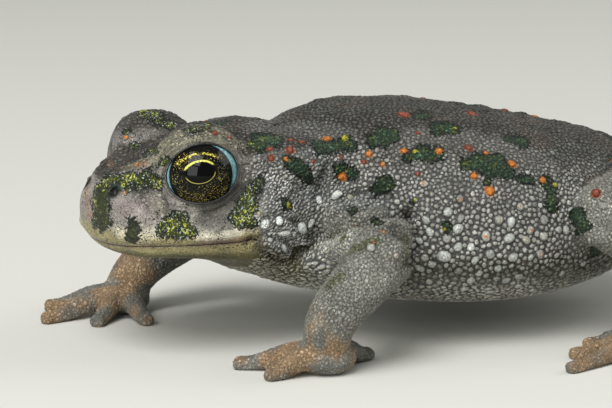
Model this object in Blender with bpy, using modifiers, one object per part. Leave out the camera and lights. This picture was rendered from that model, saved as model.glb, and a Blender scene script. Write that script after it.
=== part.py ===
"""European green toad, a still, life-size model in the pose of a raised, alert animal.

The scene is in metres. The sizes below are millimetres in body terms: forward of the line
between the eyes, left of the midline and height over the floor. The toad faces -Y, its left is +X.
"""

import math

import bmesh
import bpy
import numpy as np
from mathutils import Matrix, Vector
from mathutils.bvhtree import BVHTree

MM = 0.001
NAME = "European green toad"

# Head: places are forward of the eyes, left, and over the line of the mouth
MOUTH_HEIGHT = 12.2
CROWN = (4.0, 0.0, 12.0)
CHIN = (4.0, 0.0, -3.0)
HEAD_TURN_DEG = 8.0
NECK = -11.0
EYE_RADIUS = 4.1
EYE_CENTRE = (-0.65, 5.9, 6.5)
EYE_FORWARD_DEG = 20.0
EYE_UP_DEG = 8.0
EYE_SLANT_DEG = 7.0
EYE_OPENING = (3.7, 2.98)
LID_THICKNESS = 0.6
LID_ROLL = 0.55
LID_POINTS = 16
NOSTRIL = (7.55, 3.03, 4.94)
NOSTRIL_RADIUS = 0.55
NOSTRIL_RINGS = 6
EAR = (-7.6, 4.6)
EAR_RADIUS = 1.2
EAR_THICKNESS = 1.0
EAR_SUNK = 0.1
LIP_ROLL = 0.7
LIP_PLACES = (-5.5, -2.5, 0.5, 3.0, 5.0, 6.6, 7.6)
# The line of the mouth from the snout to its corner, then down to the throat: forward, up
MOUTH_LINE = (
    (12.0, -0.75), (7.8, -0.6), (5.0, -0.28), (1.6, -0.14), (-2.2, 0.03), (-4.4, 0.2), (-6.0, -1.6), (-8.5, -10.0),
)

# Skin and parting
GAP = 0.3
VOXEL = 0.42
SMOOTH_STEPS = 8
BODY_TRIANGLES = 6600
TIDY = 0.004
OUTSIDE = 30.0

# Each station of the head: forward, half width, bottom, top, height of the widest level
HEAD_STATIONS = (
    (8.7, 6.2, -1.6, 6.4, 2.6),
    (7.5, 6.9, -2.2, 6.8, 2.0),
    (5.0, 8.2, -2.5, 7.7, 1.2),
    (2.0, 9.4, -2.6, 8.6, 0.9),
    (-1.5, 10.5, -2.9, 9.3, 0.8),
    (-5.0, 11.3, -3.9, 10.0, 0.8),
    (-9.0, 11.2, -5.7, 11.2, 1.2),
    (-15.0, 9.0, -6.8, 11.0, 2.2),
)
HEAD_ENDS = (3.6, 3.0)
HEAD_SQUARENESS = 2.35
# Each station of the trunk: forward, half width, bottom, top, height of the widest level
TRUNK_STATIONS = (
    (1.0, 9.0, 8.4, 20.4, 13.0),
    (-6.0, 11.0, 6.0, 22.1, 13.0),
    (-12.0, 12.4, 4.5, 23.2, 12.6),
    (-18.0, 14.4, 3.8, 24.5, 12.0),
    (-25.0, 17.2, 3.2, 24.2, 11.4),
    (-32.0, 18.5, 2.7, 23.4, 11.0),
    (-39.0, 17.6, 2.7, 22.1, 11.0),
    (-46.0, 15.0, 3.4, 20.9, 11.2),
    (-52.0, 12.4, 4.6, 19.8, 11.6),
    (-57.0, 9.8, 5.8, 18.1, 11.6),
    (-60.5, 8.0, 6.6, 16.1, 11.2),
)
TRUNK_ENDS = (2.2, 3.2)
TRUNK_SQUARENESS = 2.3

# Soft swellings of the head: centre, half sizes, turn and nose-down tilt
HEAD_FORMS = (
    ((-1.2, 5.1, 6.8), (4.8, 4.4, 4.8), 0.0, 0.0),
    ((-0.7, 6.1, 4.0), (5.6, 4.3, 4.4), -6.0, 0.0),
    ((3.6, 3.2, 5.8), (4.6, 1.5, 2.2), -20.0, 20.0),
)
PAROTOID = ((-11.4, 8.0, 19.5), (6.6, 3.4, 2.35), -12.0, -4.0)

# Limbs: joint places (forward, left, height) and the radius of the flesh there
LEFT_ARM = {
    "shoulder": ((-15.6, 8.0, 13.0), 3.6),
    "elbow": ((-17.9, 18.4, 11.6), 3.3),
    "wrist": ((-9.9, 21.4, 5.8), 2.6),
    "palm": ((-10.4, 19.6, 2.2), 2.3),
}
RIGHT_ARM = {
    "shoulder": ((-15.5, -8.0, 12.6), 3.6),
    "elbow": ((-12.6, -18.2, 9.6), 3.2),
    "wrist": ((-3.2, -16.0, 5.2), 2.6),
    "palm": ((-0.4, -14.8, 2.2), 2.3),
}
LEG = {
    "hip": ((-54.0, 6.0, 11.8), 5.7),
    "knee": ((-40.4, 21.0, 13.9), 3.4),
    "ankle": ((-60.0, 18.2, 4.4), 2.4),
    "instep": ((-49.0, 22.4, 2.5), 2.2),
}
# The muscle between two joints: its share of the way, and its radius against the joints' own
UPPER_ARM = (0.55, 0.96)
FOREARM = (0.35, 1.03)
THIGH = (0.5, 1.04)
SHANK = (0.4, 1.22)
ANKLE = (0.5, 0.92)
# Fingers from the outer to the inner and toes from the inner to the outer: heading, length
LEFT_FINGERS = ((12.0, 5.6), (-30.0, 7.8), (-85.0, 6.6), (-150.0, 5.8))
RIGHT_FINGERS = ((-24.0, 7.0), (16.0, 8.8), (52.0, 6.8), (92.0, 6.6))
TOES = ((26.0, 5.6), (8.0, 8.4), (-8.0, 11.8), (-23.0, 16.0), (-44.0, 10.4))
TOE_ROOTS = (1.8, 1.0, 0.2, -0.7, -1.5)
ROD_END = 0.8
PALM = (3.1, 3.0, 1.8)
SOLE = (4.4, 3.0, 1.7)
PALM_TO_ROOT = 1.6
SOLE_FORWARD = 1.0
TOES_FORWARD = 2.0
FINGER_RADII = (1.25, 0.85)
TOE_RADII = (1.2, 0.8)
WEB_REACH = 0.55
WEB_THICKNESS = 0.9
WEB_HEIGHT = 0.56
WEB_HOLLOW = 0.22
FLOOR_SINK = 0.3

# Where an arm leaves the trunk: a thin cone round this place, opening along this direction
ARM_ROOTS = {
    "left": ((-16.4, 11.0, 12.5), (0.25, 0.95, -0.3)),
    "right": ((-14.6, -11.0, 11.9), (0.3, -0.92, -0.25)),
}
ROOT_CONE = (2.8, 7.0, 5.0)
# Where a thigh leaves the trunk: a thin upright wall through these places (forward, left)
THIGH_WALL = ((-66.0, 10.0), (-58.0, 8.6), (-52.0, 10.5), (-46.0, 14.1), (-40.0, 17.2), (-34.0, 20.5))

# Each field of warts: forward range, range of angles up from the left side, spacing and radius
WART_FIELDS = (
    ("back", (-9.0, -57.0), (42.0, 138.0), 4.6, 1.1),
    ("left flank", (-21.0, -49.0), (-26.0, 26.0), 3.9, 0.95),
    ("right flank", (-21.0, -49.0), (154.0, 206.0), 3.9, 0.95),
)
# The pale warts behind the corner of the mouth: forward and up, on the head
CHEEK_WARTS = ((-6.3, 1.7), (-8.3, 2.3), (-7.4, -0.2), (-9.2, 0.2))
CHEEK_WART_RADIUS = 0.85
CHEEK_WIDTH = 11.6
WART_HEIGHT = 0.62
WART_SINK = 0.12
WART_REACH = 1.5
WART_SPREAD = 0.25
WART_JITTER = 0.28
WART_SIDES = 7
SEED = 11

# Base colour and roughness of each kind of part
FINISHES = {
    "skin": ((0.46, 0.44, 0.40), 0.6),
    "belly": ((0.62, 0.60, 0.52), 0.6),
    "limb": ((0.42, 0.40, 0.36), 0.6),
    "ear": ((0.33, 0.30, 0.27), 0.6),
    "eye": ((0.02, 0.02, 0.02), 0.1),
}


def at(forward, left, height):
    """The scene's point for a place in body terms."""
    return Vector((left, -forward, height)) * MM


def on_head(forward, left, up):
    """The scene's point for a place in head terms."""
    turn = math.radians(HEAD_TURN_DEG)
    reach = forward - NECK
    return at(
        NECK + reach * math.cos(turn) - left * math.sin(turn),
        reach * math.sin(turn) + left * math.cos(turn),
        up + MOUTH_HEIGHT,
    )


def in_scene(x, y, z):
    """The scene's point for a place that is already in the scene's metres."""
    return Vector((x, y, z))


def smooth_between(stations, forward):
    """The stations' other columns at this place, on a smooth curve through them."""
    table = np.array(sorted(stations))
    slopes = np.gradient(table[:, 1:], table[:, 0], axis=0)
    i = int(np.clip(np.searchsorted(table[:, 0], forward) - 1, 0, len(table) - 2))
    step = table[i + 1, 0] - table[i, 0]
    t = (forward - table[i, 0]) / step
    return (
        (2 * t**3 - 3 * t**2 + 1) * table[i, 1:]
        + (t**3 - 2 * t**2 + t) * step * slopes[i]
        + (3 * t**2 - 2 * t**3) * table[i + 1, 1:]
        + (t**3 - t**2) * step * slopes[i + 1]
    )


def outline_point(stations, ends, squareness, forward, angle):
    """The place on the form through the stations at an angle: 0 left, a quarter turn up."""
    front, back = stations[0][0], stations[-1][0]
    axis = (forward - (front + back) / 2) / ((front - back) / 2)
    power = ends[0] if axis > 0 else ends[1]
    size = max(0.0, 1 - min(1.0, abs(axis)) ** power) ** (1 / power)
    width, bottom, top, level = smooth_between(stations, forward)
    side, rise = math.cos(angle), math.sin(angle)
    reach = (top - level) if rise > 0 else (level - bottom)
    return (
        forward,
        width * size * math.copysign(abs(side) ** (2 / squareness), side),
        level + reach * size * math.copysign(abs(rise) ** (2 / squareness), rise),
    )


def loft(stations, ends, squareness, place):
    """A closed form through the stations."""
    bm = bmesh.new()
    bmesh.ops.create_uvsphere(bm, u_segments=64, v_segments=56, radius=1.0)
    front, back = stations[0][0], stations[-1][0]
    for vertex in bm.verts:
        forward = (front + back) / 2 + (front - back) / 2 * max(-1.0, min(1.0, vertex.co.z))
        angle = math.atan2(vertex.co.y, vertex.co.x)
        vertex.co = place(*outline_point(stations, ends, squareness, forward, angle))
    bmesh.ops.recalc_face_normals(bm, faces=bm.faces)
    return bm


def ellipsoid(centre, half_sizes, turn_deg, tilt_deg, place):
    """A closed ellipsoid, turned about the vertical and tilted nose down."""
    bm = bmesh.new()
    bmesh.ops.create_uvsphere(bm, u_segments=32, v_segments=20, radius=1.0)
    turn = Matrix.Rotation(math.radians(turn_deg), 3, "Z")
    tilt = Matrix.Rotation(math.radians(tilt_deg), 3, "Y")
    for vertex in bm.verts:
        offset = turn @ tilt @ (Matrix.Diagonal(half_sizes) @ vertex.co)
        vertex.co = place(centre[0] + offset.x, centre[1] + offset.y, centre[2] + offset.z)
    bmesh.ops.recalc_face_normals(bm, faces=bm.faces)
    return bm


def mirrored_form(form, sign):
    """The same swelling on the left (1) or the right (-1)."""
    (forward, left, up), half_sizes, turn, tilt = form
    return (forward, left * sign, up), half_sizes, turn * sign, tilt


def tube(points, radii, place, ring=False):
    """A round tube on a smooth curve through places, with its own radius at each."""
    curve = bpy.data.curves.new("tube", "CURVE")
    curve.dimensions = "3D"
    curve.bevel_depth = MM
    curve.bevel_resolution = 4
    curve.resolution_u = 6
    curve.use_fill_caps = True
    spline = curve.splines.new("NURBS")
    spline.points.add(len(points) - 1)
    for knot, point, radius in zip(spline.points, points, radii):
        knot.co = (*place(*point), 1.0)
        knot.radius = radius
    spline.order_u = 3
    spline.use_endpoint_u = not ring
    spline.use_cyclic_u = ring
    carrier = bpy.data.objects.new("tube", curve)
    bpy.context.scene.collection.objects.link(carrier)
    bpy.context.view_layer.update()
    graph = bpy.context.evaluated_depsgraph_get()
    mesh = bpy.data.meshes.new_from_object(carrier.evaluated_get(graph))
    bm = bmesh.new()
    bm.from_mesh(mesh)
    bmesh.ops.remove_doubles(bm, verts=bm.verts, dist=TIDY * MM)
    bmesh.ops.recalc_face_normals(bm, faces=bm.faces)
    bpy.data.objects.remove(carrier)
    bpy.data.meshes.remove(mesh)
    return bm


def rod(joints):
    """A length of limb through joints, each a place and a radius, with full ends."""
    places = [place for place, radius in joints]
    radii = [radius for place, radius in joints]
    places = [places[0], *places, places[-1]]
    return tube(places, [radii[0] * ROD_END, *radii, radii[-1] * ROD_END], at)


def between(a, b, share):
    """The place a share of the way from a to b."""
    return tuple(a[i] + (b[i] - a[i]) * share for i in range(3))


def muscle(start, end, form):
    """The place and the radius of the flesh between two joints."""
    share, swell = form
    return between(start[0], end[0], share), (start[1] + end[1]) / 2 * swell


def ahead(point, heading_deg, distance, height):
    """A place at a distance from a point, along a heading that turns from forward to the left."""
    heading = math.radians(heading_deg)
    return (
        point[0] + distance * math.cos(heading),
        point[1] + distance * math.sin(heading),
        height,
    )


def digit(root, heading, length, radii):
    """A finger or toe that lies on the floor, with a swelling at its joint and a blunt tip."""
    thick, thin = radii
    low = thin - FLOOR_SINK
    return rod(
        [
            ((root[0], root[1], thick * 1.5), thick * 1.15),
            (ahead(root, heading, length * 0.3, thick * 1.35), thick),
            (ahead(root, heading, length * 0.55, thin * 1.2), thin * 1.2),
            (ahead(root, heading, length * 0.8, low), thin),
            (ahead(root, heading, length, low), thin * 1.05),
        ]
    )


def web(root_a, heading_a, root_b, heading_b, reach):
    """A thin membrane between two toes, with a hollow free edge."""
    height = WEB_HEIGHT
    tip_a = ahead(root_a, heading_a, reach, height)
    tip_b = ahead(root_b, heading_b, reach, height)
    heel_a = ahead(root_a, heading_a, 0.0, height)
    heel_b = ahead(root_b, heading_b, 0.0, height)
    hollow = between(between(tip_a, tip_b, 0.5), between(heel_a, heel_b, 0.5), WEB_HOLLOW)
    bm = bmesh.new()
    corners = [bm.verts.new(at(*corner)) for corner in (heel_a, tip_a, hollow, tip_b, heel_b)]
    face = bm.faces.new(corners)
    bmesh.ops.solidify(bm, geom=[face], thickness=WEB_THICKNESS * MM)
    bmesh.ops.triangulate(bm, faces=bm.faces)
    bmesh.ops.recalc_face_normals(bm, faces=bm.faces)
    return bm


def mirrored_limb(joints, sign):
    """The same limb on the left (1) or the right (-1)."""
    return {
        name: ((forward, left * sign, height), radius)
        for name, ((forward, left, height), radius) in joints.items()
    }


def hand(palm, fingers):
    """Palm and four spread fingers."""
    forms = [ellipsoid((palm[0], palm[1], PALM[2] - FLOOR_SINK), PALM, 0.0, 0.0, at)]
    for heading, length in fingers:
        root = ahead(palm, heading, PALM_TO_ROOT, 0.0)
        forms.append(digit(root, heading, length, FINGER_RADII))
    return forms


def foot(instep, sign):
    """Sole and five webbed toes."""
    middle = (instep[0] + SOLE_FORWARD, instep[1], SOLE[2] - FLOOR_SINK)
    forms = [ellipsoid(middle, SOLE, 0.0, 0.0, at)]
    roots = [(instep[0] + TOES_FORWARD, instep[1] - sign * side, 0.0) for side in TOE_ROOTS]
    headings = [-sign * heading for heading, length in TOES]
    lengths = [length for heading, length in TOES]
    for root, heading, length in zip(roots, headings, lengths):
        forms.append(digit(root, heading, length, TOE_RADII))
    for i in range(len(TOES) - 1):
        reach = min(lengths[i], lengths[i + 1]) * WEB_REACH
        forms.append(web(roots[i], headings[i], roots[i + 1], headings[i + 1], reach))
    return forms


def arm(joints, fingers):
    """Upper arm, forearm and hand."""
    shoulder, elbow, wrist, palm = joints.values()
    return [
        rod([shoulder, muscle(shoulder, elbow, UPPER_ARM), elbow]),
        rod([elbow, muscle(elbow, wrist, FOREARM), wrist, palm]),
        *hand(palm[0], fingers),
    ]


def leg(joints, sign):
    """Thigh, shank, ankle and foot."""
    hip, knee, ankle, instep = joints.values()
    return [
        rod([hip, muscle(hip, knee, THIGH), knee]),
        rod([knee, muscle(knee, ankle, SHANK), ankle]),
        rod([ankle, muscle(ankle, instep, ANKLE), instep]),
        *foot(instep[0], sign),
    ]


def eye_axes(sign):
    """An eye's centre and its directions outward, along the opening and up it."""
    forward, left, up = EYE_CENTRE
    centre = on_head(forward, left * sign, up)
    turn, tilt = math.radians(EYE_FORWARD_DEG), math.radians(EYE_UP_DEG)
    aim = (
        forward + math.cos(tilt) * math.sin(turn),
        (left + math.cos(tilt) * math.cos(turn)) * sign,
        up + math.sin(tilt),
    )
    outward = (on_head(*aim) - centre).normalized()
    nose = head_aim(1, 0, 0)
    along = (nose - outward * nose.dot(outward)).normalized()
    slant = Matrix.Rotation(math.radians(EYE_SLANT_DEG) * sign, 3, outward)
    along = slant @ along
    rise = outward.cross(along)
    if rise.z < 0:
        rise.negate()
    return centre, outward, along, rise


def eyelids(sign):
    """The swelling over the eyeball and the roll round the opening."""
    forward, left, up = EYE_CENTRE
    reach = EYE_RADIUS + GAP + LID_THICKNESS
    centre, outward, along, rise = eye_axes(sign)
    points = []
    for angle in np.linspace(0.0, math.tau, LID_POINTS, endpoint=False):
        a = (EYE_OPENING[0] + LID_ROLL / 2) * math.cos(angle)
        b = (EYE_OPENING[1] + LID_ROLL / 2) * math.sin(angle)
        depth = math.sqrt(reach**2 - a**2 - b**2) - LID_ROLL / 2
        points.append(centre + (outward * depth + along * a + rise * b) * MM)
    return [
        ellipsoid((forward, left * sign, up), (reach, reach, reach), 0.0, 0.0, on_head),
        tube(points, [LID_ROLL] * len(points), in_scene, ring=True),
    ]


def lips():
    """A soft roll along the upper lip, round the snout from corner to corner."""
    side = []
    for forward in LIP_PLACES:
        ring = [
            outline_point(HEAD_STATIONS, HEAD_ENDS, HEAD_SQUARENESS, forward, -angle)
            for angle in np.linspace(0.0, math.pi / 2, 40)
        ]
        place = min(ring, key=lambda point: abs(point[2] - LIP_ROLL))
        side.append((forward, place[1] - LIP_ROLL * 0.6, LIP_ROLL))
    other = [(forward, -left, up) for forward, left, up in reversed(side)]
    return tube(side + other, [LIP_ROLL] * len(side + other), on_head)


def joined(forms):
    """Many meshes as one, with the originals freed."""
    whole = bmesh.new()
    for form in forms:
        mesh = bpy.data.meshes.new("form")
        form.to_mesh(mesh)
        form.free()
        whole.from_mesh(mesh)
        bpy.data.meshes.remove(mesh)
    return whole


def whole_body():
    """Every form of flesh, fused and smoothed to one closed skin."""
    forms = [
        loft(HEAD_STATIONS, HEAD_ENDS, HEAD_SQUARENESS, on_head),
        loft(TRUNK_STATIONS, TRUNK_ENDS, TRUNK_SQUARENESS, at),
        lips(),
    ]
    for sign in (1, -1):
        forms += [ellipsoid(*mirrored_form(form, sign), on_head) for form in HEAD_FORMS]
        forms.append(ellipsoid(*mirrored_form(PAROTOID, sign), at))
        forms += eyelids(sign)
        forms += leg(mirrored_limb(LEG, sign), sign)
    forms += arm(LEFT_ARM, LEFT_FINGERS)
    forms += arm(RIGHT_ARM, RIGHT_FINGERS)
    body = object_of("body", joined(forms))
    remesh = body.modifiers.new("Fuse", "REMESH")
    remesh.mode = "VOXEL"
    remesh.voxel_size = VOXEL * MM
    smooth = body.modifiers.new("Soften", "SMOOTH")
    smooth.iterations = SMOOTH_STEPS
    smooth.factor = 0.5
    apply_modifiers(body)
    thin = body.modifiers.new("Thin", "DECIMATE")
    thin.ratio = BODY_TRIANGLES / (2 * len(body.data.polygons))
    apply_modifiers(body)
    return body


def object_of(name, bm):
    """A new object that holds the mesh."""
    mesh = bpy.data.meshes.new(name)
    bm.to_mesh(mesh)
    bm.free()
    made = bpy.data.objects.new(name, mesh)
    bpy.context.scene.collection.objects.link(made)
    return made


def apply_modifiers(obj):
    """Makes the evaluated mesh the object's own."""
    bpy.context.view_layer.update()
    graph = bpy.context.evaluated_depsgraph_get()
    mesh = bpy.data.meshes.new_from_object(obj.evaluated_get(graph))
    obj.modifiers.clear()
    old = obj.data
    obj.data = mesh
    bpy.data.meshes.remove(old)


def cut(obj, cutter_mesh):
    """Takes the cutter's form out of the object."""
    bmesh.ops.triangulate(cutter_mesh, faces=cutter_mesh.faces)
    bmesh.ops.recalc_face_normals(cutter_mesh, faces=cutter_mesh.faces)
    cutter = object_of("cutter", cutter_mesh)
    cutter.hide_render = True
    cutter.display_type = "WIRE"
    boolean = obj.modifiers.new("Cut", "BOOLEAN")
    boolean.operation = "DIFFERENCE"
    boolean.solver = "EXACT"
    boolean.object = cutter
    apply_modifiers(obj)
    bpy.data.objects.remove(cutter)


def islands(bm):
    """The closed surfaces of a mesh, each as its own mesh, the largest first."""
    bm.verts.ensure_lookup_table()
    waiting = set(range(len(bm.verts)))
    groups = []
    while waiting:
        edge = [waiting.pop()]
        group = set(edge)
        while edge:
            linked = [e.other_vert(bm.verts[i]).index for i in edge for e in bm.verts[i].link_edges]
            edge = [i for i in set(linked) if i in waiting]
            waiting.difference_update(edge)
            group.update(edge)
        groups.append(group)
    groups.sort(key=len, reverse=True)
    pieces = []
    for group in groups:
        piece = bm.copy()
        piece.verts.ensure_lookup_table()
        others = [vertex for vertex in piece.verts if vertex.index not in group]
        bmesh.ops.delete(piece, geom=others, context="VERTS")
        pieces.append(piece)
    return pieces


def mesh_of(obj):
    """The object's mesh, with the object removed."""
    bm = bmesh.new()
    bm.from_mesh(obj.data)
    bpy.data.objects.remove(obj)
    return bm


def nearest_piece(pieces, place):
    """The piece that comes closest to a place."""
    return min(pieces, key=lambda piece: min((v.co - place).length for v in piece.verts))


def beyond(bm, point, normal, gap=GAP / 2):
    """The part of a mesh beyond a plane, closed with a flat face."""
    side = bm.copy()
    made = bmesh.ops.bisect_plane(
        side,
        geom=[*side.verts, *side.edges, *side.faces],
        dist=TIDY * MM / 4,
        plane_co=point + normal * gap * MM,
        plane_no=normal,
        clear_inner=True,
    )
    rim = [edge for edge in made["geom_cut"] if isinstance(edge, bmesh.types.BMEdge)]
    bmesh.ops.triangle_fill(side, edges=rim, use_beauty=True, normal=-normal)
    return side


def parted(bm, point, normal):
    """The two sides of a thin flat cut: the one that the normal points to, and the other."""
    return islands(beyond(bm, point, normal))[0], islands(beyond(bm, point, -normal))[0]


def ribbon(points, across):
    """A thin wall through points, as wide as across to both sides."""
    bm = bmesh.new()
    row = [bm.verts.new(point - across) for point in points]
    edges = [bm.edges.new(pair) for pair in zip(row, row[1:])]
    grown = bmesh.ops.extrude_edge_only(bm, edges=edges)
    moved = [item for item in grown["geom"] if isinstance(item, bmesh.types.BMVert)]
    bmesh.ops.translate(bm, verts=moved, vec=across * 2)
    bmesh.ops.solidify(bm, geom=list(bm.faces), thickness=GAP * MM)
    return bm


def thigh_wall(sign):
    """The upright wall that parts a thigh from the trunk."""
    foot_line = [at(forward, left * sign, 0.0) for forward, left in THIGH_WALL]
    return ribbon(foot_line, at(0, 0, OUTSIDE))


def arm_cone(side):
    """The thin cone that parts an upper arm from the trunk."""
    place, direction = ARM_ROOTS[side]
    near, far, depth = ROOT_CONE
    aim = (at(*direction)).normalized()
    bm = bmesh.new()
    bmesh.ops.create_cone(
        bm, cap_ends=True, segments=20, radius1=near * MM, radius2=far * MM, depth=depth * MM
    )
    lid = max(bm.faces, key=lambda face: face.calc_center_median().z)
    bmesh.ops.delete(bm, geom=[lid], context="FACES")
    bmesh.ops.translate(bm, verts=bm.verts, vec=(0, 0, depth * MM / 2))
    bmesh.ops.transform(bm, matrix=turned_to(aim), verts=bm.verts)
    bmesh.ops.translate(bm, verts=bm.verts, vec=at(*place))
    bmesh.ops.solidify(bm, geom=list(bm.faces), thickness=GAP * MM)
    return bm


def part_limb(bm, names, joints):
    """Cuts a limb at its joints, each along the plane that halves its bend."""
    nodes = {}
    places = [at(*place) for place, radius in joints.values()]
    for i, name in enumerate(names[:-1]):
        start, joint, end = places[i : i + 3]
        normal = ((start - joint).normalized() - (end - joint).normalized()).normalized()
        nodes[name], bm = parted(bm, joint, normal)
    nodes[names[-1]] = bm
    return nodes


def head_aim(forward, left, up):
    """A direction on the head."""
    return (on_head(forward, left, up) - on_head(0, 0, 0)).normalized()


def turned_to(aim):
    """The turn that takes +Z to a direction."""
    return aim.to_track_quat("Z", "Y").to_matrix().to_4x4()


def cylinder(radius, low, high, centre, aim):
    """A closed cylinder along a direction, from low to high along it."""
    bm = bmesh.new()
    bmesh.ops.create_cone(
        bm,
        cap_ends=True,
        segments=24,
        radius1=radius * MM,
        radius2=radius * MM,
        depth=(high - low) * MM,
    )
    bmesh.ops.translate(bm, verts=bm.verts, vec=(0, 0, (high + low) / 2 * MM))
    bmesh.ops.transform(bm, matrix=turned_to(aim), verts=bm.verts)
    bmesh.ops.translate(bm, verts=bm.verts, vec=centre)
    return bm


def ball(radius, centre, rings):
    """A closed sphere."""
    bm = bmesh.new()
    bmesh.ops.create_uvsphere(bm, u_segments=rings * 2, v_segments=rings, radius=radius * MM)
    bmesh.ops.translate(bm, verts=bm.verts, vec=centre)
    return bm


def eye_window(sign):
    """The oval opening of the lids, from the eyeball's centre outward."""
    centre, outward, along, rise = eye_axes(sign)
    bm = bmesh.new()
    bmesh.ops.create_cone(
        bm, cap_ends=True, segments=36, radius1=MM, radius2=MM, depth=2 * EYE_RADIUS * MM
    )
    for vertex in bm.verts:
        a, b, depth = vertex.co
        vertex.co = centre + along * a * EYE_OPENING[0] + rise * b * EYE_OPENING[1]
        vertex.co += outward * (depth + EYE_RADIUS * MM)
    return bm


def skin_hit(tree, place, aim):
    """Where a line from outside meets the skin, and the skin's direction there."""
    point, normal, face, distance = tree.ray_cast(place + aim * OUTSIDE * MM, -aim)
    return point, normal


def part_head(bm):
    """Head, lower jaw, eyes and ears."""
    head = object_of("head", bm)
    mouth = [on_head(forward, 0, up) for forward, up in MOUTH_LINE]
    cut(head, ribbon(mouth, head_aim(0, 1, 0) * OUTSIDE * MM))
    pieces = islands(mesh_of(head))
    jaw = nearest_piece(pieces, on_head(*CHIN))
    head = object_of("head", nearest_piece(pieces, on_head(*CROWN)))
    tree = BVHTree.FromObject(head, bpy.context.evaluated_depsgraph_get())
    nodes = {"lower_jaw": jaw}
    for side, sign in (("left", 1), ("right", -1)):
        centre, outward, along, rise = eye_axes(sign)
        cut(head, ball(EYE_RADIUS + GAP, centre, 10))
        cut(head, eye_window(sign))
        nodes["eye_" + side] = ball(EYE_RADIUS, centre, 12)
        place = on_head(NOSTRIL[0], NOSTRIL[1] * sign, NOSTRIL[2])
        nostril, normal = skin_hit(tree, place, head_aim(0.6, sign, 0.5))
        cut(head, ball(NOSTRIL_RADIUS, nostril, NOSTRIL_RINGS))
        ear, normal = skin_hit(tree, on_head(EAR[0], 0, EAR[1]), head_aim(0, sign, 0))
        low = -EAR_SUNK - EAR_THICKNESS
        cut(head, cylinder(EAR_RADIUS + GAP, low - GAP, EAR_THICKNESS, ear, normal))
        nodes["ear_" + side] = cylinder(EAR_RADIUS, low, -EAR_SUNK, ear, normal)
    nodes["head"] = mesh_of(head)
    return nodes


def lies_open(tree, point, normal, reach):
    """Whether the skin goes on all round a place, clear of edges and cuts."""
    side = normal.orthogonal().normalized() * reach
    start = normal * 2 * MM
    for turn in np.linspace(0.0, math.tau, 8, endpoint=False):
        spot = point + Matrix.Rotation(turn, 3, normal) @ side + start
        hit, other, face, distance = tree.ray_cast(spot, -normal)
        if hit is None or abs(distance - start.length) > reach / 2 or other.dot(normal) < 0.75:
            return False
    return True


def wart(point, normal, radius, spin):
    """A low dome with its root sunk in the skin."""
    bm = bmesh.new()
    bmesh.ops.create_uvsphere(bm, u_segments=WART_SIDES, v_segments=4, radius=radius * MM)
    bmesh.ops.scale(bm, vec=(1.0, 1.0, WART_HEIGHT), verts=bm.verts)
    bmesh.ops.rotate(bm, cent=(0, 0, 0), matrix=Matrix.Rotation(spin, 3, "Z"), verts=bm.verts)
    bmesh.ops.transform(bm, matrix=turned_to(normal), verts=bm.verts)
    bmesh.ops.translate(bm, verts=bm.verts, vec=point - normal * WART_SINK * MM)
    return bm


def field_places(rng, forward_range, angle_range, spacing):
    """Places in the scene over a stretch of the trunk, in staggered rows, each a little off."""
    places = []
    rows = int(abs(forward_range[1] - forward_range[0]) / spacing)
    for row in range(rows + 1):
        forward = forward_range[0] - row * spacing
        ring = [
            at(*outline_point(TRUNK_STATIONS, TRUNK_ENDS, TRUNK_SQUARENESS, forward, angle))
            for angle in np.radians(np.linspace(*angle_range, 60))
        ]
        lengths = np.cumsum([0.0] + [(b - a).length for a, b in zip(ring, ring[1:])])
        count = int(lengths[-1] / (spacing * MM))
        for i in range(count + row % 2):
            along = (i + (1 - row % 2) / 2) / count * lengths[-1]
            along += rng.uniform(-1, 1) * WART_JITTER * spacing * MM
            spot = ring[int(np.clip(np.searchsorted(lengths, along), 0, len(ring) - 1))]
            places.append(spot + at(rng.uniform(-1, 1) * WART_JITTER * spacing, 0, 0))
    return places


def warted(nodes, name, places):
    """The node with domes at the places where its skin lies open, fused to one solid."""
    rng = np.random.default_rng(SEED)
    tree = BVHTree.FromBMesh(nodes[name])
    others = joined([bm.copy() for other, bm in nodes.items() if other != name])
    neighbours = BVHTree.FromBMesh(others)
    node = object_of(name, nodes[name])
    domes = bpy.data.collections.new("domes")
    bpy.context.scene.collection.children.link(domes)
    for place, size in places:
        point, normal, face, distance = tree.find_nearest(place)
        radius = size * (1 + rng.uniform(-1, 1) * WART_SPREAD)
        clear = (radius + GAP) * MM
        crowded = neighbours.find_nearest(point)[3] < clear
        if crowded or distance > WART_REACH * MM or not lies_open(tree, point, normal, clear):
            continue
        dome = object_of("dome", wart(point, normal, radius, rng.uniform(0, math.tau)))
        bpy.context.scene.collection.objects.unlink(dome)
        domes.objects.link(dome)
    union = node.modifiers.new("Warts", "BOOLEAN")
    union.operation = "UNION"
    union.operand_type = "COLLECTION"
    union.collection = domes
    union.solver = "EXACT"
    apply_modifiers(node)
    for dome in list(domes.objects):
        bpy.data.objects.remove(dome)
    bpy.data.collections.remove(domes)
    return mesh_of(node)


def add_warts(nodes):
    """Warts over the back, the flanks and behind the corners of the mouth."""
    rng = np.random.default_rng(SEED)
    places = []
    for field, forward_range, angle_range, spacing, radius in WART_FIELDS:
        spots = field_places(rng, forward_range, angle_range, spacing)
        places += [(spot, radius) for spot in spots]
    nodes["torso"] = warted(nodes, "torso", places)
    cheeks = []
    for sign in (1, -1):
        for forward, up in CHEEK_WARTS:
            cheeks.append((on_head(forward, CHEEK_WIDTH * sign, up), CHEEK_WART_RADIUS))
    nodes["head"] = warted(nodes, "head", places + cheeks)


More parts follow.
